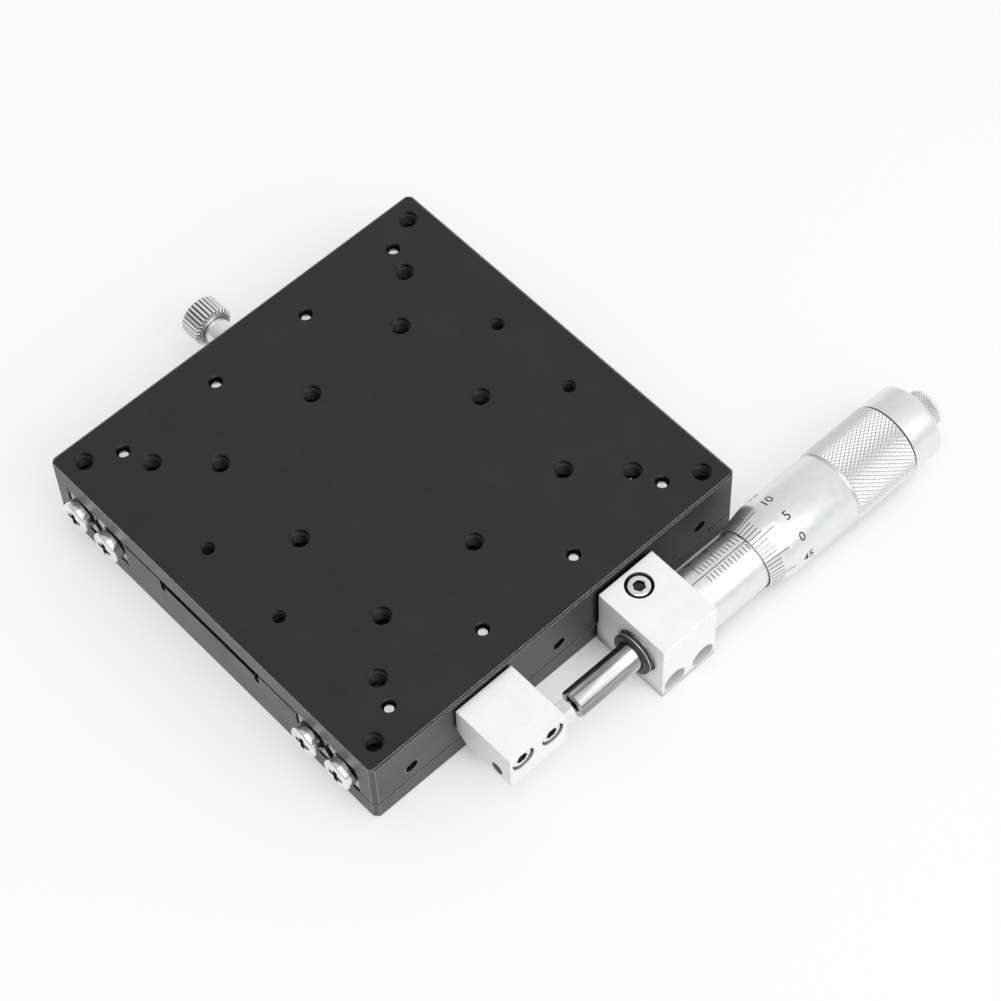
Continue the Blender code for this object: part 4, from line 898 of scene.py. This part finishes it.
def add_patch(work, radius_at, start_x, end_x, start_angle, end_angle):
    """A thin raised patch on the micrometer, between two places along X and two angles in degrees."""
    steps = max(1, round(abs(end_angle - start_angle) / 3))
    layers = []
    for rise in (TICK_RISE, -2 * TICK_RISE):
        rows = []
        for x in (start_x, end_x):
            row = []
            for degrees in spaced(start_angle, end_angle, steps):
                point = polar(radius_at(x) + rise, math.radians(degrees), x)
                row.append(work.verts.new(AROUND_AXIS @ point))
            rows.append(row)
        layers.append(rows)
    (top_low, top_high), (foot_low, foot_high) = layers
    sides = ((top_low, top_high), (foot_low, foot_high), (top_low, foot_low), (top_high, foot_high))
    for first, second in sides:
        for i in range(steps):
            work.faces.new([first[i], first[i + 1], second[i + 1], second[i]])
    for i in (0, steps):
        work.faces.new([top_low[i], top_high[i], foot_high[i], foot_low[i]])


def flat_digits(text, height):
    """Digits of one height about their middle, cut into strips so that they can be bent."""
    strip = 0.4
    curve = bpy.data.curves.new("digits", "FONT")
    curve.body = text
    curve.resolution_u = 3
    curve.offset = 0.006
    obj = new_object("digits", curve)
    bpy.context.view_layer.update()
    mesh = bpy.data.meshes.new_from_object(obj.evaluated_get(bpy.context.evaluated_depsgraph_get()))
    bpy.data.objects.remove(obj)
    flat = bmesh.new()
    flat.from_mesh(mesh)
    low = Vector(min(vert.co[axis] for vert in flat.verts) for axis in range(3))
    high = Vector(max(vert.co[axis] for vert in flat.verts) for axis in range(3))
    scale = height / (high.y - low.y)
    bmesh.ops.transform(flat, matrix=Matrix.Translation(-(low + high) / 2), verts=flat.verts)
    bmesh.ops.scale(flat, vec=(scale, scale, scale), verts=flat.verts)
    for line in spaced(-height / 2, height / 2, math.ceil(height / strip))[1:-1]:
        geometry = flat.verts[:] + flat.edges[:] + flat.faces[:]
        bmesh.ops.bisect_plane(flat, geom=geometry, plane_co=(0, line, 0), plane_no=(0, 1, 0))
    return flat


def add_digits(work, text, height, radius, x, degrees):
    """Digits wrapped on the micrometer, read along X with their tops at the greater angle."""
    digits = flat_digits(text, height)
    bmesh.ops.solidify(digits, geom=digits.faces[:], thickness=3 * TICK_RISE)
    foot = min(vert.co.z for vert in digits.verts)
    for vert in digits.verts:
        angle = math.radians(degrees) + vert.co.y / radius
        across = radius - 2 * TICK_RISE + vert.co.z - foot
        vert.co = AROUND_AXIS @ polar(across, angle, x + vert.co.x)
    placed = bpy.data.meshes.new("digits")
    digits.to_mesh(placed)
    digits.free()
    work.from_mesh(placed)


def sleeve_scale():
    """The sleeve's index line, with millimetres above it, half millimetres below it and its figures."""
    line_start = SLEEVE.low.x + 16.5
    line_end = SCALE_ZERO + TRAVEL + 0.5
    above, short, long = INDEX_ANGLE + 7, INDEX_ANGLE + 21, INDEX_ANGLE + 28
    below, half_end = INDEX_ANGLE - 17, INDEX_ANGLE - 4
    figure_angle, figure_height = INDEX_ANGLE + 50, 1.9
    half = TICK_WIDTH / 2
    line = math.degrees(half / SLEEVE_RADIUS)

    def radius_at(_x):
        return SLEEVE_RADIUS

    work = bmesh.new()
    add_patch(work, radius_at, line_start, line_end, INDEX_ANGLE - line, INDEX_ANGLE + line)
    for tick in range(TRAVEL + 1):
        x = SCALE_ZERO + tick
        figured = tick % FIGURE_EVERY == 0
        add_patch(work, radius_at, x - half, x + half, above, long if figured else short)
        if tick < TRAVEL:
            middle = x + 0.5
            add_patch(work, radius_at, middle - half, middle + half, below, half_end)
        if figured:
            add_digits(work, str(tick), figure_height, SLEEVE_RADIUS, x + 0.5, figure_angle)
    add_piece("sleeve_scale", mesh_of(work), [INK], "base")


def thimble_scale():
    """The thimble's fifty divisions, with a figure at every fifth."""
    front = THIMBLE.low.x
    start, short, long, figure_x = front + 0.06, front + 3.4, front + 5.9, front + 9.6
    figure_height = 2.1
    half = math.degrees(TICK_WIDTH / 2 / THIMBLE_RADIUS)
    work = bmesh.new()
    for division in range(DIVISIONS):
        angle = INDEX_ANGLE + (division - THIMBLE_READING) * (360 / DIVISIONS)
        figured = division % FIGURE_EVERY == 0
        add_patch(work, thimble_cone, start, long if figured else short, angle - half, angle + half)
        if figured:
            add_digits(work, str(division), figure_height, THIMBLE_RADIUS, figure_x, angle)
    add_piece("thimble_scale", mesh_of(work), [INK], "thimble")


# Lock


def lock_knob():
    """The lock knob: a straight-knurled head, a collar and the stud."""
    end, tip = KNOB.high.y, KNOB.low.y
    head, foot = end - 6.0, Extent("lock_plate").high.y + CLEARANCE
    stud, collar, shoulder, face, eased = 1.9, 3.075, 4.3, 4.1, 0.2
    rim = ridged(4.8, depth=0.45, teeth=30)
    profile = [(0, tip), (stud - eased, tip), (stud, tip + eased), (stud, foot), (2.9, foot)]
    profile += [(collar, foot + eased), (collar, head), (face, head), (shoulder, head + eased)]
    profile += [(rim, head + 0.55), (rim, end - 0.55)]
    profile += [(shoulder, end - eased), (face, end), (3.6, end), (3.4, end - eased), (0, end - eased)]
    mesh = turned(profile, 240, towards((0, 0, KNOB.middle.z), FAR))
    add_piece("lock_knob_knurled", mesh, [KNURLED], "lock", ["lock_knob"])


# Cages and springs


def roller_cage(side_name):
    """A brass strip with its crossed rollers."""
    body, node = f"cage_{side_name}", f"roller_cage_{side_name}"
    cage = Extent(node)
    thickness, height, strip_ease = 0.7, 2.4, 0.08
    rollers, pitch, radius, half, ease = 15, 5.0, 1.45, 1.35, 0.15
    work = bmesh.new()
    size = Matrix.Diagonal((cage.size.x, thickness, height, 1))
    bmesh.ops.create_cube(work, size=1, matrix=Matrix.Translation(cage.middle) @ size)
    bmesh.ops.bevel(work, geom=work.edges[:], offset=strip_ease, segments=2, affect="EDGES")
    add_piece(f"cage_strip_{side_name}", mesh_of(work), [BRASS], body, [node])
    work = bmesh.new()
    profile = [(0, -half), (radius - ease, -half), (radius, ease - half), (radius, half - ease)]
    profile += [(radius - ease, half), (0, half)]
    for index in range(rollers):
        lean = 1 if index % 2 else -1
        centre = cage.middle + Vector(((index - (rollers - 1) / 2) * pitch, 0, 0))
        turn_profile(work, profile, 32, towards(centre, (0, lean, 1)))
    add_piece(f"rollers_{side_name}", mesh_of(work), [POLISHED], body)


def spring_line(table_pin, base_pin):
    """The middle of a spring's wire: a loop round each pin and a coil between them."""
    loop, radius, turns, pitch = 1.8, 1.9, 9, 2.4
    sweep, hook_steps, turn_steps = math.radians(300), 20, 24
    y, z = base_pin.y, base_pin.z
    start = (table_pin.x + base_pin.x - turns * pitch) / 2
    line = []
    for step in range(hook_steps + 1):
        angle = math.pi - sweep * (1 - step / hook_steps)
        line.append((table_pin.x - loop * math.cos(angle), y + loop * math.sin(angle), z))
    line.append((start - pitch, y, z))
    for step in range(turns * turn_steps + 1):
        angle = math.tau * step / turn_steps
        x = start + pitch * step / turn_steps
        line.append((x, y + radius * math.cos(angle), z + radius * math.sin(angle)))
    line.append((start + turns * pitch + pitch, y, z))
    for step in range(hook_steps + 1):
        angle = sweep * step / hook_steps
        line.append((base_pin.x - loop * math.cos(angle), y + loop * math.sin(angle), z))
    return [Vector(point) for point in line]


def add_wire(work, line, radius, sides=10):
    """A round wire along a line of points."""
    rings = []
    across = Vector(UP)
    for index, point in enumerate(line):
        before, after = line[max(index - 1, 0)], line[min(index + 1, len(line) - 1)]
        along = (after - before).normalized()
        across = (across - along * across.dot(along)).normalized()
        other = along.cross(across)
        ring = []
        for side in range(sides):
            angle = math.tau * side / sides
            ring.append(work.verts.new(point + (across * math.cos(angle) + other * math.sin(angle)) * radius))
        rings.append(ring)
    add_tube(work, rings)


def return_spring(side_name, number):
    """A spring of round wire that stretches between the base and the table."""
    node, wire_radius = f"return_spring_{side_name}", 0.3
    height = Extent(node).middle.z
    pins = []
    for owner in ("table", "base"):
        pin = Extent(f"{owner}_spring_pin_{number}").middle
        pins.append(Vector((pin.x, pin.y, height)))
    work = bmesh.new()
    add_wire(work, spring_line(*pins), wire_radius)
    spring = add_piece(f"spring_wire_{side_name}", mesh_of(work), [SPRING], None, [node])
    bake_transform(spring)


# Floor, light and camera


def floor():
    """A plain pale floor just under the stage, seen a little brighter than it is lit, with a painted shadow
    where the stage closes it in.
    """
    half_width, drop, share_of_white = 3000, 0.05, 0.5
    dark, pale = (0.0, 0.0, 0.0), (0.95, 0.95, 0.95)
    work = bmesh.new()
    bmesh.ops.create_grid(work, x_segments=1, y_segments=1, size=half_width)
    mesh = mesh_of(work)
    mesh.transform(Matrix.Translation((0, 0, -drop)))
    mesh.transform(METRES)
    made = Finish("floor_look", 0.0, Roughness=0.9, Specular_IOR_Level=0.0)
    # Painted shadow: the floor darkens where the stage closes it in.
    painted_shade_mask = made.crevice(reach=14.0, dark=0.04, closed=0.18, opened=0.33)
    shade = made.mix(painted_shade_mask, dark, pale)
    made.tree.links.new(shade, made.shader.inputs["Base Color"])
    rays = made.tree.nodes.new("ShaderNodeLightPath").outputs
    seen = made.maths("MAXIMUM", rays["Is Camera Ray"], rays["Is Glossy Ray"])
    seen = made.maths("MAXIMUM", seen, rays["Is Transmission Ray"])
    share = made.maths("MULTIPLY", made.maths("MULTIPLY", seen, painted_shade_mask), share_of_white)
    white = made.node("ShaderNodeEmission", {"Color": (1, 1, 1, 1), "Strength": 1.0}).outputs[0]
    lit = made.shader.outputs[0]
    both = made.node("ShaderNodeMixShader", {0: share, 1: lit, 2: white}).outputs[0]
    made.tree.links.new(both, made.tree.nodes["Material Output"].inputs["Surface"])
    mesh.materials.append(made.material)
    obj = new_object("floor", mesh)


def world():
    """A light tent: brighter overhead and on the right, darker on the left."""
    middle, slope = 0.575, (0.23, 0.0, 0.11)
    made = bpy.data.worlds.new("light_tent")
    made.use_nodes = True
    tree = made.node_tree
    direction = tree.nodes.new("ShaderNodeTexCoord").outputs["Generated"]
    rise = tree.nodes.new("ShaderNodeVectorMath")
    rise.operation = "DOT_PRODUCT"
    tree.links.new(direction, rise.inputs[0])
    rise.inputs[1].default_value = slope
    strength = tree.nodes.new("ShaderNodeMath")
    strength.operation = "ADD"
    tree.links.new(rise.outputs["Value"], strength.inputs[0])
    strength.inputs[1].default_value = middle
    tree.links.new(strength.outputs[0], tree.nodes["Background"].inputs["Strength"])
    tree.nodes["Background"].inputs["Color"].default_value = (1, 1, 1, 1)
    bpy.context.scene.world = made


def softbox(name, direction, distance, width, height, watts):
    """A large area lamp that faces the stage. Its lengths are in metres."""
    lamp = bpy.data.lights.new(name, "AREA")
    lamp.shape = "RECTANGLE"
    lamp.size = width
    lamp.size_y = height
    lamp.energy = watts
    away = Vector(direction).normalized()
    obj = new_object(name, lamp)
    obj.location = away * distance
    obj.rotation_euler = away.to_track_quat("Z", "Y").to_euler()


def lights():
    softbox("overhead_softbox", (-0.15, -0.35, 0.92), distance=1.2, width=1.1, height=1.1, watts=4.8)
    softbox("front_softbox", (0.15, -0.75, 0.65), distance=1.1, width=0.9, height=0.7, watts=2.4)


def camera():
    """The photograph's camera: its direction, roll, distance and lens."""
    azimuth, elevation, roll = (math.radians(angle) for angle in (-40.665, 57.88, -2.684))
    target, distance = Vector((10.533, -21.689, 20.0)), 620.046
    focal_pixels, picture_pixels, sensor = 3043.357, 1001, 36.0
    back = Vector((math.sin(azimuth), -math.cos(azimuth), 0)) * math.cos(elevation)
    back.z = math.sin(elevation)
    level = Vector((math.cos(azimuth), math.sin(azimuth), 0))
    up = back.cross(level)
    right = level * math.cos(roll) + up * math.sin(roll)
    upper = up * math.cos(roll) - level * math.sin(roll)
    lens = bpy.data.cameras.new("camera")
    lens.sensor_width = sensor
    lens.lens = focal_pixels * sensor / picture_pixels
    place = Matrix((right, upper, back)).transposed().to_4x4()
    place.translation = (target + back * distance) * MM
    obj = new_object("camera", lens)
    obj.matrix_world = place
    bpy.context.scene.camera = obj


def build():
    paint_cad_nodes()
    table_plate()
    table_threads()
    anvil_block()
    micrometer_holder()
    all_screws()
    thimble()
    thimble_cap()
    ratchet()
    sleeve()
    stem_nut()
    spindle()
    contact_pin()
    sleeve_scale()
    thimble_scale()
    lock_knob()
    for number, side_name in enumerate(("near", "far"), 1):
        roller_cage(side_name)
        return_spring(side_name, number)
    floor()
    world()
    lights()
    camera()
    bpy.context.scene.view_settings.view_transform = "Standard"


build()
